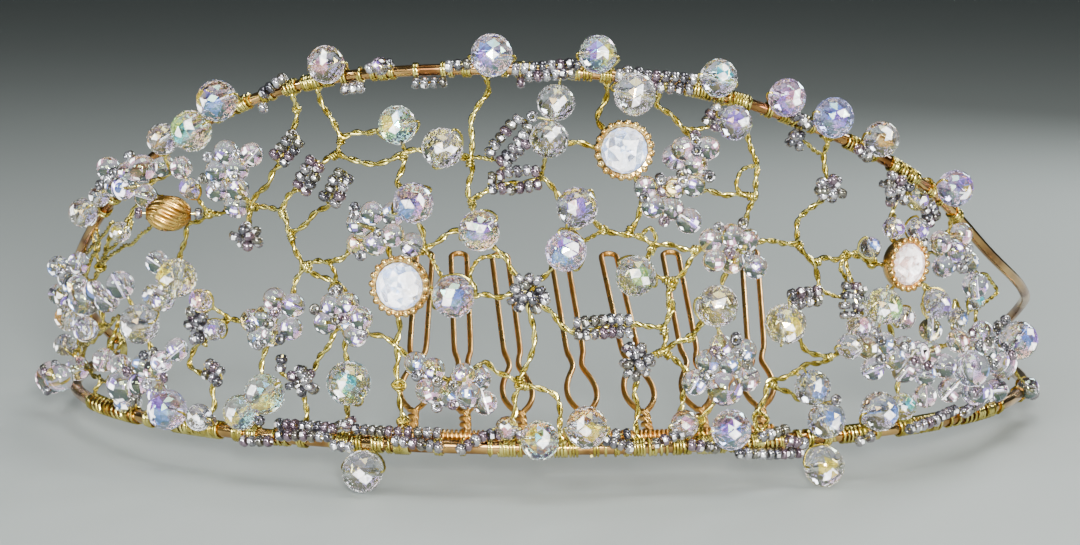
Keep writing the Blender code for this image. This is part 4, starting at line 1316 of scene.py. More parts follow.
def pairOf(node, balls, chance):
    # two crystals that touch, on one wire
    (first, firstRadius), (second, secondRadius) = balls
    axis = (second - first).normalized()
    share = (second - first).length / (firstRadius + secondRadius) / crystalLook["flatten"]
    parts = [crystalAt("part", centre, radius * min(share, 1.0), axis, chance, crystalTints[node])
             for centre, radius in balls]
    goldWires.append([first - axis * (firstRadius + bubbleLook["wireEnd"]),
                      second + axis * (secondRadius + bubbleLook["wireEnd"])])
    return joinAs(node.replace("_", "."), parts)


chance = random.Random(33)
clusterPlaces = {}
for number, rows in enumerate(clusterBalls + pairBalls, 1):
    paired = number > len(clusterBalls)
    node = f"crystal_pair_{number - len(clusterBalls)}" if paired else f"cluster_{number:02d}"
    balls = movedTo(node, gathered(rows, 0.0 if paired else gathering["layer"]))
    clusterPlaces[node] = balls
    taken += balls
    if paired:
        keep(pairOf(node, balls, chance), "cut_crystal", node)
    else:
        keep(bubbles(node.replace("_", "."), balls, chance), "bubble_glass", node)
    found = stemOf(balls)
    if found:
        start, end, centre = found
        goldWires += stemWire([start, end])
        if not paired:
            goldWires.append([end, centre])
print("clusters and pairs made:", len(clusterPlaces))


# Stones: a brilliant cut in glass over silver foil, in a gold cup with a beaded rim

stoneLook = {
    "sizes": {"stone_1": (6.8, 8.0), "stone_2": (7.1, 8.4), "stone_3": (6.4, 7.6)},  # stone, cup in mm
    "rimBeads": 20, "rimBead": 0.5 * mm, "crown": 1.25, "pavilion": 1.5, "table": 0.5, "inset": 0.45,
    "inCup": 0.93, "seat": 2.5 * mm, "rimHeight": 2.55 * mm, "middle": 1.5 * mm,
    "foilGap": 0.16 * mm, "foil": 0.12 * mm,
    # blaze, blazeShare and glows: glowing painted highlights on facets that face out, and the painted glow of
    # all the others; cool and warm: the facet shades, painted reflections of the stone's back, warmer on the
    # third stone
    "blaze": (1.4, 2.4), "blazeShare": 0.6, "glows": (0.15, 0.4, 0.7),
    "cool": [(1.0, 1.0, 1.0), (1.0, 1.0, 1.0), (0.70, 0.84, 1.0), (0.42, 0.58, 0.94), (0.46, 0.50, 0.60)],
    "warm": [(1.0, 0.97, 0.94), (1.0, 0.92, 0.86), (1.0, 0.80, 0.74), (0.86, 0.62, 0.56),
             (0.62, 0.42, 0.36)],
}


def brilliant(name, radius):
    # rings of points drawn tight over one another give the table, the star and kite facets and the back
    table, crown, pavilion = stoneLook["table"], stoneLook["crown"], stoneLook["pavilion"]
    rings = [  # vertices, radius share, height in mm, turn in steps
        (8, table, crown, 0.5), (8, 0.74, crown * 0.76, 0.0), (16, 0.88, crown * 0.45, 0.5),
        (16, 1.0, 0.12, 0.0), (16, 1.0, -0.12, 0.0), (16, 0.72, -pavilion * 0.42, 0.5),
        (8, 0.42, -pavilion * 0.76, 0.5), (8, 0.1, -pavilion, 0.0),
    ]
    bpy.ops.mesh.primitive_circle_add(vertices=16, radius=radius)
    piece = bpy.context.active_object
    piece.name = name
    pickOnly(piece)
    bpy.ops.object.mode_set(mode="EDIT")
    bpy.ops.mesh.delete(type="VERT")
    for sides, share, height, turn in rings:
        bpy.ops.mesh.primitive_circle_add(vertices=sides, radius=radius * share,
                                          location=(0, 0, height * mm),
                                          rotation=(0, 0, turn * 2 * math.pi / sides))
    bpy.ops.mesh.select_all(action="SELECT")
    bpy.ops.mesh.convex_hull()
    bpy.ops.mesh.select_all(action="SELECT")
    bpy.ops.mesh.dissolve_limited(angle_limit=math.radians(1))
    leaveEdit()
    # the table is split into a star of triangles that carry painted reflections of the back's facets
    editVertices(piece, lambda co: co.z > (crown - 0.01) * mm)
    bpy.ops.mesh.inset(thickness=radius * table * stoneLook["inset"], depth=0)
    bpy.ops.mesh.poke()
    closeOutward()
    return piece


def stoneTintAndGlints(face, shades, chance):
    # the table and the facets that face out are partly painted as a glowing white blaze; the others are
    # painted reflections in the stone's shades, each with a painted glow
    upper = face.normal.z > 0.8
    if upper and chance.random() < stoneLook["blazeShare"]:
        return (*shades[0], chance.uniform(*stoneLook["blaze"]))
    return (*chance.choice(shades[2:] if upper else shades), chance.choice(stoneLook["glows"]))


def foilUnder(name, radius):
    # a faceted dish that follows the stone's back
    depth = stoneLook["pavilion"] * mm
    middle = (0, 0, -depth / 2 - stoneLook["foilGap"])
    bpy.ops.mesh.primitive_cone_add(vertices=16, radius1=radius * 0.12, radius2=radius * 0.97, depth=depth,
                                    end_fill_type="NOTHING", location=middle)
    piece = bpy.context.active_object
    piece.name = name
    bpy.ops.object.transform_apply()
    low = min(v.co.z for v in piece.data.vertices)
    editVertices(piece, lambda co: co.z < low + 1e-6)
    bpy.ops.mesh.edge_face_add()
    leaveEdit()
    applyModifier(piece, "SOLIDIFY", thickness=stoneLook["foil"], offset=-1.0)
    editVertices(piece, everywhere)
    closeOutward()
    return piece


def cupAround(name, stoneRadius, cupRadius):
    # a turned wall from a flat ring, then a rim of small gold beads
    middle = 0.5 * (cupRadius + stoneRadius)
    profile = [  # radius, height over the back in mm
        (0.30 * cupRadius, 0.15 * mm), (0.55 * cupRadius, 0.0), (0.86 * cupRadius, 0.5 * mm),
        (0.97 * cupRadius, 1.3 * mm), (0.985 * cupRadius, 2.1 * mm), (middle, 2.5 * mm),
        (0.97 * stoneRadius, 2.42 * mm), (0.95 * stoneRadius, 1.9 * mm), (0.5 * stoneRadius, 0.75 * mm),
    ]
    firstRadius, firstHeight = profile[0]
    bpy.ops.mesh.primitive_circle_add(vertices=40, radius=firstRadius, location=(0, 0, firstHeight))
    piece = bpy.context.active_object
    piece.name = name
    bpy.ops.object.transform_apply()
    editVertices(piece, everywhere)
    for (radius, height), (nextRadius, nextHeight) in zip(profile, profile[1:]):
        bpy.ops.mesh.extrude_region_move(TRANSFORM_OT_translate={"value": (0, 0, nextHeight - height)})
        share = nextRadius / radius
        bpy.ops.transform.resize(value=(share, share, 1), center_override=(0, 0, nextHeight))
    bpy.ops.mesh.edge_face_add()
    leaveEdit()
    editVertices(piece, lambda co: abs(co.z - firstHeight) < 1e-6)
    bpy.ops.mesh.edge_face_add()
    closeOutward()
    smoothShade(piece, 40)
    bpy.ops.mesh.primitive_uv_sphere_add(segments=10, ring_count=7, radius=stoneLook["rimBead"])
    grain = bpy.context.active_object
    outTo = Matrix.Translation(Vector((middle, 0, stoneLook["rimHeight"])))
    places = [Matrix.Rotation(2 * math.pi * i / stoneLook["rimBeads"], 4, "Z") @ outTo
              for i in range(stoneLook["rimBeads"])]
    beads = joinedCopies(name + "Rim", grain, places, "cupGold")
    bpy.data.objects.remove(grain)
    return joinAs(name, [piece, beads])


for node, (stoneSize, cupSize) in stoneLook["sizes"].items():
    corner = bandCorners(node)
    middle, _, _, axis = mainAxes(corner)
    if axis.dot(faceOut(middle)) < 0:
        axis.negate()
    back = middle + axis * min((point - middle).dot(axis) for point in corner)
    place = Matrix.Translation(back) @ turnTo(axis)
    seat = place @ Matrix.Translation(Vector((0, 0, stoneLook["seat"])))
    stoneRadius, cupRadius = stoneSize * mm / 2, cupSize * mm / 2
    taken.append((back + axis * stoneLook["middle"], cupRadius))
    number = node.split("_")[1]
    chance = random.Random(50 + int(number))
    shades = stoneLook["warm" if number == "3" else "cool"]
    cup = cupAround(f"cup.{number}", stoneRadius, cupRadius)
    stone = brilliant(f"stone.{number}", stoneRadius * stoneLook["inCup"])
    tintFaces(stone.data, [stoneTintAndGlints(face, shades, chance) for face in stone.data.polygons])
    foil = foilUnder(f"foil.{number}", stoneRadius * stoneLook["inCup"])
    layers = ((cup, "cupGold", place), (stone, "stoneGlass", seat), (foil, "stoneFoil", seat))
    for piece, finish, lies in layers:
        dress(piece, finish)
        piece.data.transform(lies)
    keep(cup, "bright_gold", node)
    keep(stone, "stone_in_cup")
    keep(foil, "stone_in_cup")
print("stones made")


# Fluted bead: a ball drawn long, its alternate meridians pressed in and then wound a little

flutedLook = {
    "flutes": 12, "rings": 17, "bore": 0.26, "endScale": 0.85, "valley": 0.76, "flank": 0.9, "wind": 70.0,
    "long": 1.24, "radius": 2.6 * mm, "clear": 1.2, "seedGap": 0.75 * mm,
}


def flutedBead():
    # four columns of corners to each flute: crest, flank, valley and flank
    sides = flutedLook["flutes"] * 4
    piece = drilledBall("fluted.bead", sides, flutedLook["rings"], flutedLook["bore"], flutedLook["endScale"],
                        False)

    def column(co):
        if math.hypot(co.x, co.y) <= 0.4:
            return 0
        return round(math.atan2(co.y, co.x) / (2 * math.pi) * sides) % 4

    rescale(piece, lambda co: column(co) in (1, 3), flutedLook["flank"], flutedLook["flank"], 1)
    rescale(piece, lambda co: column(co) == 2, flutedLook["valley"], flutedLook["valley"], 1)
    rescale(piece, everywhere, 1, 1, flutedLook["long"])
    applyModifier(piece, "SIMPLE_DEFORM", deform_method="TWIST", deform_axis="Z",
                  angle=math.radians(flutedLook["wind"]))
    smoothShade(piece)
    return piece


centre, reach, flutedAxis, _ = mainAxes(bandCorners("fluted_bead"))
fluted = flutedBead()
fluted.data.transform(placed(centre, flutedAxis, flutedLook["radius"]))
taken.append((centre, flutedLook["clear"] * flutedLook["radius"]))
dress(fluted, "beadGold")
keep(fluted, "bright_gold", "fluted_bead")
flutedEnds = [centre + flutedAxis * side * (reach + flutedLook["seedGap"]) for side in (-1, 1)]
goldWires.append(flutedEnds)
print("fluted bead made")


# Seed beads: one rounded ring modelled once, then threaded in loops, rosettes and rows

seedLook = {
    "radius": 0.9 * mm, "length": 1.22 * mm, "proud": 0.5 * mm, "rosetteProud": 0.6 * mm, "wobble": 0.25,
    "tall": 1.75, "belly": 1.02, "clearRounds": 6, "hangFrom": 1.2 * mm, "jitter": 0.2, "lift": 0.3,
    "sizes": (0.92, 1.05), "rosetteSizes": (0.9, 1.05), "rowSizes": (0.94, 1.04), "sway": 0.5,
    "sparks": (0.3, 0.9, 1.6, 2.4), "endTurns": 1.4, "endLength": 0.5 * mm,
    "between": 0.92, "groove": 0.6 * mm, "fan": (25, 100),
}


def seedMaster():
    bpy.ops.mesh.primitive_torus_add(major_segments=9, minor_segments=6, major_radius=0.64, minor_radius=0.36)
    piece = bpy.context.active_object
    piece.name = "seedMaster"
    rescale(piece, everywhere, 1, 1, seedLook["tall"])
    rescale(piece, lambda co: math.hypot(co.x, co.y) > 0.9, seedLook["belly"], seedLook["belly"], 1)
    smoothShade(piece)
    return piece


seedModel = seedMaster()
seedTints = [
    (0.28, 0.28, 0.30), (0.14, 0.14, 0.16), (0.38, 0.37, 0.38), (0.28, 0.20, 0.25), (0.56, 0.56, 0.60),
    (0.22, 0.21, 0.17),
]
seedPlaces, seedColours, seedSparks, threadWires = [], [], [], []


def clearOf(place, radius):
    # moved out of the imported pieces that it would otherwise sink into
    for _ in range(seedLook["clearRounds"]):
        for centre, reach in taken:
            apart = place - centre
            if apart.length < reach + radius:
                place = centre + apart.normalized() * (reach + radius)
    return place


def addSeed(centre, axis, chance, size=1.0):
    scale = seedLook["radius"] * size
    centre = clearOf(centre, scale * 0.8)
    toward = (axis.normalized() + anyWay(chance, seedLook["wobble"])).normalized()
    seedPlaces.append(placed(centre, toward, scale, anyTurn(chance)))
    seedColours.append(chance.choice(seedTints))
    # the face of each seed turned most to the lamp is painted as a glowing white highlight of the chosen
    # strength
    lamp = faceOut(centre) + anyWay(chance, seedLook["sway"])
    seedSparks.append((lamp, chance.choice(seedLook["sparks"])))


def hang(place, chance):
    # a twisted wire from the openwork that carries a string or a knot of seeds
    start = nearestNet(place)
    if (place - start).length > seedLook["hangFrom"]:
        goldWires.extend(fineSprig([start, place], chance))


def seedLoop(ends, rows, bulge, chance):
    # seeds threaded out and back between two places read from the view, on one twisted loop
    start, stop = (spot(*end, seedLook["proud"]) for end in ends)
    run = stop - start
    count = max(2, round(run.length / seedLook["length"]))
    normal = faceOut(start)
    across = run.cross(normal).normalized()
    wires = []
    for row in range(rows):
        side = 0.0 if rows == 1 else (row / (rows - 1) - 0.5) * 2
        line = []
        for i in range(count):
            t = (i + 0.5) / count
            spread = seedLook["radius"] * (0.84 if rows > 1 else 0.0) + bulge * math.sin(math.pi * t)
            jitter = chance.uniform(-seedLook["jitter"], seedLook["jitter"]) * seedLook["radius"]
            lift = normal * chance.uniform(-seedLook["lift"], seedLook["lift"]) * seedLook["radius"]
            line.append(start + run * t + across * (side * spread + jitter) + lift)
            addSeed(line[-1], run, chance, chance.uniform(*seedLook["sizes"]))
        wires.append([start] + line + [stop])
    hang(min((start, stop), key=lambda place: (nearestNet(place) - place).length), chance)
    threadWires.extend(wires)


def seedRosette(across, down, width, count, tall, chance):
    # a knot of small seed loops, packed about a middle
    centre = spot(across, down, seedLook["rosetteProud"])
    normal = faceOut(centre)
    up = Vector((0, 0, 1))
    side = normal.cross(up).normalized()
    outer = width * mm / 2 - seedLook["radius"] * 0.9
    packed = []
    for i in range(count):
        for _ in range(40):
            angle = anyTurn(chance)
            reach = outer * math.sqrt(chance.random())
            depth = chance.uniform(-0.9, 1.0) * mm
            place = (centre + side * math.cos(angle) * reach + up * math.sin(angle) * reach * tall
                     + normal * depth)
            if all((place - other).length > seedLook["radius"] * 1.5 for other in packed):
                break
        packed.append(place)
        ringAxis = (place - centre).cross(normal)
        addSeed(place, ringAxis if ringAxis.length > 1e-5 else side, chance,
                chance.uniform(*seedLook["rosetteSizes"]))
    threadWires.extend([centre - normal * mm, place] for place in packed[::2])
    hang(centre, chance)


def seedRow(rail, places, chance):
    # seeds side by side on a rail, along the places read from the view
    radius = seedLook["radius"]
    line = [onRail(rail, across, down, radius) for across, down in places]
    path = [line[0][0]]
    for (start, _), (stop, _) in zip(line, line[1:]):
        run = stop - start
        count = max(1, round(run.length / (seedLook["length"] * 1.02)))
        path += [start + run * (i + 1) / count for i in range(count)]
    for i, place in enumerate(path):
        before, after = path[max(i - 1, 0)], path[min(i + 1, len(path) - 1)]
        axis = after - before if len(path) > 1 else line[0][1]
        foot = railPoint(rail, wallPlace(place)[0])
        path[i] = foot + (place - foot).normalized() * (railRadius[rail] + radius * 1.02)
        addSeed(path[i], axis, chance, chance.uniform(*seedLook["rowSizes"]))
    if len(path) > 1:
        threadWires.append(path)
    for end in (path[0], path[-1]):
        angle = wallPlace(end)[0]
        railCoils.append(bindRail(rail, angle, seedLook["endTurns"], seedLook["endLength"], chance))


seedLoops = [  # ends read from the view, rows, bulge in mm
    (((298, 136), (277, 162)), 2, 0.0), (((318, 161), (298, 191)), 2, 0.1),
    (((346, 172), (328, 204)), 2, 0.1), (((488, 184), (541, 177)), 2, 0.35),
    (((573, 329), (633, 325)), 2, 0.25), (((788, 300), (822, 296)), 2, 0.0),
    (((493, 160), (526, 120)), 2, 0.45), (((852, 281), (849, 320)), 2, 0.2),
    (((722, 108), (708, 127)), 2, 0.0), (((504, 166), (534, 134)), 1, 0.0),
    (((860, 286), (862, 312)), 1, 0.0), (((205, 368), (222, 378)), 2, 0.0),
    (((283, 355), (280, 372)), 1, 0.0), (((926, 204), (934, 222)), 2, 0.0),
    (((871, 240), (873, 256)), 1, 0.0), (((918, 238), (919, 262)), 2, 0.0),
]
seedRosettes = [  # across, down, width in mm, seeds, tall
    (246, 238, 4.9, 13, 0.95), (796, 140, 3.4, 6, 0.9), (829, 190, 4.9, 13, 0.95),
    (896, 188, 5.4, 17, 1.2), (637, 361, 6.0, 18, 0.95), (302, 383, 5.0, 15, 1.1),
    (529, 294, 6.6, 22, 0.95), (199, 325, 4.8, 17, 1.35), (1004, 330, 3.6, 7, 1.0),
    (958, 262, 3.6, 7, 1.2), (344, 424, 3.4, 6, 0.8), (660, 186, 3.2, 6, 1.0),
]
seedRows = {  # places along each rail, read from the view
    "top": [
        [(516, 69), (577, 64)], [(530, 76), (572, 73)], [(618, 74), (690, 79)], [(622, 84), (688, 89)],
        [(372, 68), (391, 64)], [(414, 88), (442, 89)], [(450, 66), (468, 64)], [(268, 92), (285, 78)],
        [(258, 116)], [(342, 96), (357, 98)], [(521, 87)], [(792, 115), (806, 124)],
        [(858, 150), (868, 158)],
    ],
    "base": [
        [(278, 424), (332, 424)], [(284, 434), (330, 436)], [(337, 444), (352, 446)],
        [(388, 424), (436, 428)], [(462, 448), (490, 426)], [(617, 428), (628, 432)],
        [(655, 442), (690, 425)], [(738, 452), (800, 456)], [(786, 440), (800, 442)],
        [(856, 440), (866, 436)], [(936, 416), (952, 410)], [(990, 396), (1002, 388)],
        [(1024, 390), (1036, 394)], [(196, 414), (212, 420)], [(248, 440), (272, 440)],
        [(356, 430), (380, 432)], [(398, 440), (440, 446)], [(500, 430), (520, 432)],
        [(606, 440), (628, 446)], [(690, 444), (714, 446)], [(760, 436), (784, 430)],
        [(905, 428), (930, 420)], [(960, 412), (980, 402)],
    ],
}


def seedsBetween(balls, each, chance):
    # seeds that lie in the grooves between the balls of a cluster
    small = seedLook["radius"] * seedLook["between"]
    for i, (centre, radius) in enumerate(balls):
        for other, reach in balls[i + 1:]:
            apart = (other - centre).length
            if apart > radius + reach + seedLook["groove"]:
                continue
            along = (other - centre).normalized()
            shift = ((radius + small) ** 2 - (reach + small) ** 2 + apart**2) / (2 * apart)
            rise = math.sqrt(max((radius + small) ** 2 - shift**2, 0.0))
            side = along.cross(faceOut(centre)).normalized()
            front = side.cross(along)
            for _ in range(each):
                angle = chance.choice((-1, 1)) * math.radians(chance.uniform(*seedLook["fan"]))
                place = centre + along * shift + around(along, front, angle) * rise
                others = [(c, r) for c, r in balls if c not in (centre, other)]
                if all((place - c).length > r + small * 0.9 for c, r in others):
                    addSeed(place, front, chance, seedLook["between"])
                    threadWires.append([centre.lerp(other, 0.5), place])


chance = random.Random(63)
for node, balls in clusterPlaces.items():
    seedsBetween(balls, 1 if "pair" in node else 2, chance)
for end in flutedEnds:
    addSeed(end, flutedAxis, chance)

chance = random.Random(64)
for ends, rows, bulge in seedLoops:
    seedLoop(ends, rows, bulge * mm, chance)
for row in seedRosettes:
    seedRosette(*row, chance)
for rail, rows in seedRows.items():
    for places in rows:
        seedRow(rail, places, chance)
keep(joinedCopies("seedBeads", seedModel, seedPlaces, "seedSilver", seedColours, seedSparks), "seed_silver")
print("seed beads made:", len(seedPlaces))


# Small crystals and balls between the large ones, each on its own wire

smallCrystals = [  # across, down, diameter in mm, flash colours
    (744, 125, 5.0, "violet clear"), (911, 406, 4.0, "clear teal"), (688, 424, 4.0, "clear rose"),
    (88, 213, 4.5, "amber smoke"), (200, 417, 4.0, "clear smoke"), (69, 317, 4.5, "amber clear"),
    (166, 139, 4.6, "amber smoke"), (83, 324, 3.3, "clear blue"), (52, 266, 3.6, "blue clear"),
    (894, 228, 3.3, "violet clear"), (917, 232, 3.3, "violet clear"), (871, 247, 3.0, "blue clear"),
    (187, 191, 3.2, "violet clear"), (506, 421, 3.4, "clear rose"), (382, 66, 2.6, "clear violet"),
    (45, 312, 4.6, "amber smoke"), (70, 312, 3.6, "clear violet"), (118, 394, 4.4, "blue clear"),
    (864, 322, 3.6, "clear rose"), (862, 344, 3.8, "clear smoke"), (937, 304, 4.4, "clear violet"),
    (990, 372, 3.8, "violet clear"), (958, 318, 3.2, "clear blue"), (975, 300, 3.0, "clear teal"),
    (104, 196, 3.2, "clear smoke"), (120, 232, 3.2, "clear yellow"), (930, 216, 3.4, "violet clear"),
    (200, 300, 3.4, "violet rose"), (214, 330, 3.2, "clear violet"), (968, 262, 3.4, "clear blue"),
    (905, 318, 3.4, "clear rose"), (150, 300, 3.2, "clear blue"), (60, 345, 3.6, "clear smoke"),
]
smallBalls = [  # across, down, diameter in mm
    (77, 268, 3.4), (120, 285, 4.2), (64, 296, 3.4), (106, 300, 3.6), (84, 326, 3.8), (66, 374, 3.8),
    (104, 360, 3.6), (122, 372, 3.4), (150, 378, 3.4), (176, 350, 3.4), (157, 262, 3.4),
    (160, 298, 3.6), (150, 167, 3.4), (124, 178, 3.4), (145, 196, 3.4), (186, 180, 3.2),
    (238, 158, 3.4), (228, 192, 3.6), (258, 330, 3.4), (284, 312, 3.4), (340, 316, 3.4),
    (366, 222, 3.4), (390, 250, 3.4), (444, 386, 3.8), (430, 376, 3.4), (468, 386, 3.4),
    (664, 200, 3.6), (690, 172, 3.6), (724, 252, 3.6), (748, 256, 3.4), (714, 358, 3.6),
    (738, 380, 3.6), (880, 362, 3.4), (905, 352, 3.6), (930, 344, 3.4), (914, 366, 3.2),
    (944, 366, 3.6), (973, 284, 3.8), (952, 242, 3.6), (985, 340, 3.8), (962, 334, 3.6),
    (996, 384, 3.6), (1028, 388, 3.4), (1006, 358, 3.4), (866, 330, 3.2), (952, 388, 3.6),
    (925, 392, 3.4), (978, 372, 3.4),
]
extraSprigs = [  # fine wires between the large sprigs, along places read from the view
    [(846, 255), (840, 268), (846, 280), (842, 296)],
    [(972, 268), (990, 280), (997, 292), (986, 302), (976, 312)],
    [(88, 213), (97, 230), (99, 248), (90, 262), (84, 280)],
    [(112, 222), (100, 238), (88, 252), (74, 262)], [(131, 226), (119, 240), (107, 251), (98, 266)],
    [(152, 224), (136, 240), (119, 250), (104, 262)], [(70, 300), (58, 312), (50, 330), (60, 352)],
    [(84, 340), (72, 352), (66, 370)], [(120, 345), (112, 360), (120, 374)],
    [(196, 296), (206, 312), (196, 330), (206, 346)], [(930, 290), (922, 306), (928, 320)],
    [(955, 300), (965, 316), (958, 330)], [(880, 330), (868, 346), (876, 360)],
    [(1000, 350), (1012, 362), (1008, 378)], [(640, 235), (650, 228), (656, 240), (648, 250)],
    [(742, 170), (736, 186), (745, 196)], [(676, 285), (668, 296), (674, 306)],
    [(757, 410), (768, 420), (760, 430)], [(930, 180), (944, 200), (950, 222)],
    [(905, 170), (915, 186), (922, 204)], [(330, 262), (336, 276), (330, 290)],
    [(478, 260), (470, 276), (476, 290)],
]
tangles = [  # across, down and size in mm of the small knots of wire
    (400, 372, 1.0), (399, 390, 1.2), (403, 408, 1.1), (749, 317, 1.3), (664, 297, 1.0),
    (520, 382, 0.9), (605, 236, 0.8), (214, 224, 0.9), (97, 232, 1.1), (88, 258, 1.0), (690, 338, 0.8),
    (712, 412, 1.0), (886, 262, 1.0), (953, 226, 1.0), (997, 290, 1.1), (1000, 300, 0.9),
    (845, 262, 0.8), (303, 120, 0.7),
]
smallLook = {
    "railReach": 3.5 * mm, "railGap": 0.25 * mm, "turns": 2.0, "length": 1.4 * mm,
    "settle": 0.97, "ballReach": 3.0 * mm, "shortest": 0.6 * mm, "into": 0.8 * mm, "sprigProud": (-0.2, 1.0),
    "tangleTurns": 4, "tangleSides": 8, "tangleLean": 2.4, "tangleSway": 0.1, "tangleReach": (0.55, 0.8),
}


def tangle(place, size, chance):
    # wire wound loosely a few times round itself
    points = []
    sides = smallLook["tangleSides"]
    steps = smallLook["tangleTurns"] * sides
    for i in range(steps + 1):
        angle = 2 * math.pi * i / sides
        sway = chance.uniform(-smallLook["tangleSway"], smallLook["tangleSway"])
        lean = smallLook["tangleLean"] * i / steps + sway
        flat = Vector((math.cos(angle), math.sin(angle) * math.cos(lean), math.sin(angle) * math.sin(lean)))
        points.append(place + flat * size * chance.uniform(*smallLook["tangleReach"]))
    return alongCurve(points, stemLook["step"])


def smallCrystal(across, down, diameter, names, chance):
    # on a rail where one is near, or else on a wire from the openwork
    radius = diameter * mm / 2
    centre = clearOf(spot(across, down, leastProud() + radius), radius)
    angle = wallPlace(centre)[0]
    apart, rail = min(((railPoint(rail, angle) - centre).length, rail) for rail in ("base", "top"))
    if apart < radius + smallLook["railReach"]:
        centre, bore = onRail(rail, across, down, radius + smallLook["railGap"])
        centre = clearOf(centre, radius)
        angle = wallPlace(centre)[0]
        foot = railPoint(rail, angle)
        away = (centre - foot).normalized()
        foot = foot + away * railRadius[rail]
        railCoils.append(bindRail(rail, angle, smallLook["turns"], smallLook["length"], chance))
    else:
        start = nearestNet(centre)
        away = (centre - start).normalized()
        bore = away.cross(outward(angle)).normalized()
        foot = centre - away * (radius + beadWire["smallFootGap"])
        goldWires.extend(stemWire([start, foot]))
    goldWires.append(loopRound(centre, radius, bore, away, foot))
    taken.append((centre, radius))
    return crystalAt("part", centre, radius, bore, chance, names.split(), "crystalClear")


def smallBall(across, down, diameter, chance):
    # touches its nearest neighbour, or else hangs from the openwork, and is strung to it
    radius = diameter * mm / 2
    centre = clearOf(spot(across, down, leastProud() + radius), radius * smallLook["settle"])
    neighbour, reach = min(taken, key=lambda other: (other[0] - centre).length - other[1])
    if (neighbour - centre).length > reach + radius + smallLook["ballReach"]:
        neighbour, reach = nearestNet(centre), 0.0
    away = (centre - neighbour).normalized()
    start, stop = neighbour + away * reach, centre - away * radius
    if (stop - start).dot(away) > smallLook["shortest"]:
        goldWires.extend(stemWire(crinkled([start, stop], chance)))
    else:
        goldWires.append([start - away * smallLook["into"], stop + away * smallLook["into"]])
    taken.append((centre, radius))
    # the ball's painted highlights and painted coating reflections, as on the clusters, face the lamp
    toward = (faceOut(centre) + anyWay(chance, bubbleLook["sway"])).normalized()
    tint = tints[chance.choice(("violet", "rose", "blue", "violet"))]
    piece = copyOf(ballModel, "part")
    piece.data.transform(turnTo(away, anyTurn(chance)))
    shades = [bubbleTintAndGlints(face.center.normalized(), toward, tint) for face in piece.data.polygons]
    piece.data.transform(Matrix.Translation(centre) @ Matrix.Scale(radius, 4))
    tintFaces(piece.data, shades)
    dress(piece, "bubbleGlass")
    return piece


chance = random.Random(77)
keep(joinAs("smallCrystals", [smallCrystal(*row, chance) for row in smallCrystals]), "cut_crystal")
keep(joinAs("smallBalls", [smallBall(*row, chance) for row in smallBalls]), "bubble_glass")
for across, down, size in tangles:
    goldWires.append(tangle(nearestNet(spot(across, down, band["netProud"])), size * mm, chance))
for places in extraSprigs:
    line = [spot(across, down, band["netProud"] * chance.uniform(*smallLook["sprigProud"]))
            for across, down in places]
    goldWires += fineSprig([nearestNet(line[0])] + line + [nearestNet(line[-1])], chance)
print("small crystals and balls made:", len(smallCrystals) + len(smallBalls))


# Windings: stretches of rail that are bound with fine wire, and the bindings at the rails' tips

windLook = {  # base and top: pixels down at which that rail is read
    "base": 440, "top": 120, "steps": 16, "sides": 12, "bed": 0.85,
}
windings = {  # for each rail, start and end across in pixels, turns
    "base": [
        (175, 206, 9), (208, 222, 6), (236, 246, 7), (396, 410, 9), (560, 572, 3), (640, 668, 5),
        (700, 724, 8), (742, 778, 8), (838, 862, 6), (896, 938, 12), (958, 990, 8), (96, 140, 11),
    ],
    "top": [
        (236, 252, 4), (304, 318, 6), (380, 388, 3), (462, 470, 3), (570, 580, 3), (600, 612, 4),
        (692, 712, 6), (730, 744, 5), (790, 806, 4), (846, 862, 5), (892, 915, 8), (112, 132, 6),
    ],
}


def winding(rail, fromAcross, toAcross, turns, chance):
    first, last = (seenAt(across, windLook[rail])[0] for across in (fromAcross, toAcross))
    steps = windLook["steps"]
    core = [railPoint(rail, first + (last - first) * (i / steps)) for i in range(steps + 1)]
    radius = railRadius[rail] + netLook["strand"] * windLook["bed"]
    return coil(core, turns, radius, windLook["sides"], anyTurn(chance))


chance = random.Random(91)
for rail, rows in windings.items():
    for row in rows:
        railCoils.append(winding(rail, *row, chance))

endLook = {"from": 2.3, "to": 0.4, "turns": 6, "sides": 14, "clear": 0.22 * mm, "over": 0.9 * mm}


def endBinding(side):
    # an oval winding that holds the tips of both rails together, from and to in degrees from the tips
    points = []
    steps = endLook["turns"] * endLook["sides"]
    for i in range(steps + 1):
        t = i / steps
        angle = side * (band["wrap"] - math.radians(endLook["from"] + (endLook["to"] - endLook["from"]) * t))
        low, _, normal, up = railFrame("base", angle)
        high = railPoint("top", angle)
        tall = (high - low).length / 2 + endLook["over"] + endLook["clear"]
        wide = railRadius["base"] + endLook["clear"]
        turn = 2 * math.pi * endLook["turns"] * t
        points.append(low.lerp(high, 0.5) + normal * math.cos(turn) * wide + up * math.sin(turn) * tall)
    return points


def offFloor(line):
    # a wire round the lowest rail is pressed flat where the tiara stands on it
    points = []
    for point in line:
        lies = rest @ Vector(point)
        lies.z = max(lies.z, beadWire["coilWire"] * 1.1)
        points.append(unrest @ lies)
    return points


threadLook = {"radius": 0.13 * mm, "step": 0.6 * mm}

railCoils += [endBinding(-1), endBinding(1)]
threads = [alongCurve(line, threadLook["step"]) for line in threadWires]
keep(wirePiece("openwork", netWires, netLook["strand"], "netGold"), "bright_gold", "wire_net")
keep(wirePiece("stemsAndLoops", goldWires, beadWire["radius"], "netGold"), "bright_gold")
keep(wirePiece("railWindings", [offFloor(line) for line in railCoils], beadWire["coilWire"], "netGold"),
     "bright_gold")
keep(wirePiece("seedThreads", threads, threadLook["radius"], "netGold", 0), "bright_gold")
for master in (crystalModel, ballModel, seedModel):
    bpy.data.objects.remove(master)
print("wires made")


# Floor, light and camera

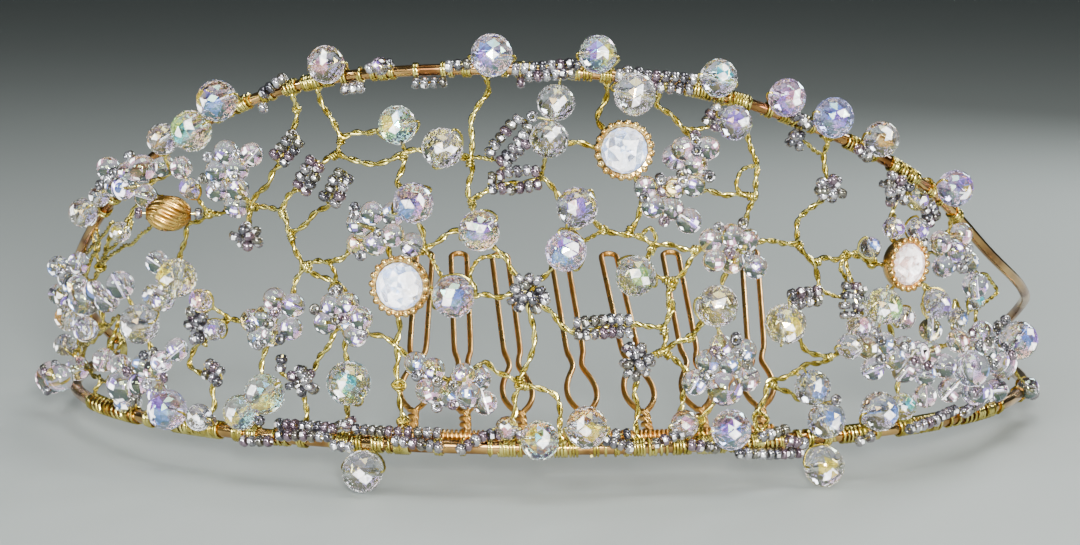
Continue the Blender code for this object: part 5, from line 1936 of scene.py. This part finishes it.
studio = {
    "floor": (0.34, 0.375, 0.36), "floorRough": 0.6, "grain": 6.0, "grainShade": 0.94,
    "world": (0.46, 0.52, 0.54), "worldStrength": 0.14,
    "floorSize": 6.0, "backdropAt": 1.7, "backdropHeight": 1.6, "curve": 0.35, "curveSteps": 12,
    "sensor": 36.0, "clip": (0.01, 20.0),
}


def makeFloor():
    # a floor that curves up into a backdrop
    bpy.ops.mesh.primitive_plane_add(size=studio["floorSize"], location=(0, 0, 0))
    floor = bpy.context.active_object
    floor.name = "floor"
    far = studio["floorSize"] / 2
    editVertices(floor, lambda co: co.y > far - 0.01)
    bpy.ops.transform.translate(value=(0, studio["backdropAt"] - far, 0))
    turns = [math.pi / 2 * i / studio["curveSteps"] for i in range(studio["curveSteps"] + 1)]
    steps = [(0, studio["curve"] * (math.sin(last) - math.sin(first)),
              studio["curve"] * (math.cos(first) - math.cos(last))) for first, last in zip(turns, turns[1:])]
    for step in steps + [(0, 0, studio["backdropHeight"])]:
        bpy.ops.mesh.extrude_region_move(TRANSFORM_OT_translate={"value": step})
    leaveEdit()
    smoothShade(floor, 30)
    material, nodes, links, shader = freshMaterial("floorPaper")
    grain = useGroup(nodes, patchesGroup, Scale=studio["grain"], Edge=0.5)
    colourBy(grain, nodes, links, shader, studio["floor"],
             [value * studio["grainShade"] for value in studio["floor"]])
    shader.inputs["Roughness"].default_value = studio["floorRough"]
    floor.data.materials.append(material)


lamps = [  # name, place, target, size in metres, power in watts, colour
    ("flash", (0.02, -0.46, 0.13), (0, -0.05, 0.03), 0.06, 4.2, (1.0, 0.98, 0.95)),
    ("frontCard", (-0.16, -0.50, 0.26), (0, -0.05, 0.03), 0.22, 2.0, (0.97, 0.98, 1.0)),
    ("topBox", (0.05, -0.10, 0.60), (0, 0, 0.02), 0.36, 2.8, (1.0, 1.0, 1.0)),
    ("leftStrip", (-0.45, -0.25, 0.20), (0, 0, 0.03), 0.10, 1.0, (0.84, 0.90, 1.0)),
    ("rightStrip", (0.45, -0.20, 0.25), (0, 0, 0.03), 0.10, 1.0, (1.0, 0.93, 0.82)),
    ("backBox", (0.26, 0.32, 0.22), (0, 0, 0.03), 0.12, 1.1, (0.95, 0.98, 1.0)),
]


def makeLamp(name, place, target, size, power, colour):
    bpy.ops.object.light_add(type="AREA", location=place)
    lamp = bpy.context.active_object
    lamp.name = name
    lamp.rotation_euler = (Vector(target) - Vector(place)).to_track_quat("-Z", "Y").to_euler()
    lamp.data.size = size
    lamp.data.energy = power
    lamp.data.color = colour


def makeCamera():
    # the photograph's own view, tipped with the tiara
    toward = Vector((0.0, math.cos(view["elevation"]), -math.sin(view["elevation"])))
    bpy.ops.object.camera_add(location=rest @ (view["target"] - toward * view["distance"]))
    camera = bpy.context.active_object
    camera.rotation_euler = (rest.to_3x3() @ toward).to_track_quat("-Z", "Y").to_euler()
    camera.data.sensor_width = studio["sensor"]
    camera.data.lens = studio["sensor"] * view["focalPixels"] / view["widthPixels"]
    camera.data.clip_start, camera.data.clip_end = studio["clip"]
    bpy.context.scene.camera = camera


def makeWorld():
    world = bpy.data.worlds.new("studio")
    world.use_nodes = True
    setValues(world.node_tree.nodes["Background"],
              {"Color": (*studio["world"], 1.0), "Strength": studio["worldStrength"]})
    bpy.context.scene.world = world


makeFloor()
for row in lamps:
    makeLamp(*row)
makeCamera()
makeWorld()
bpy.ops.object.select_all(action="DESELECT")
print("studio made")
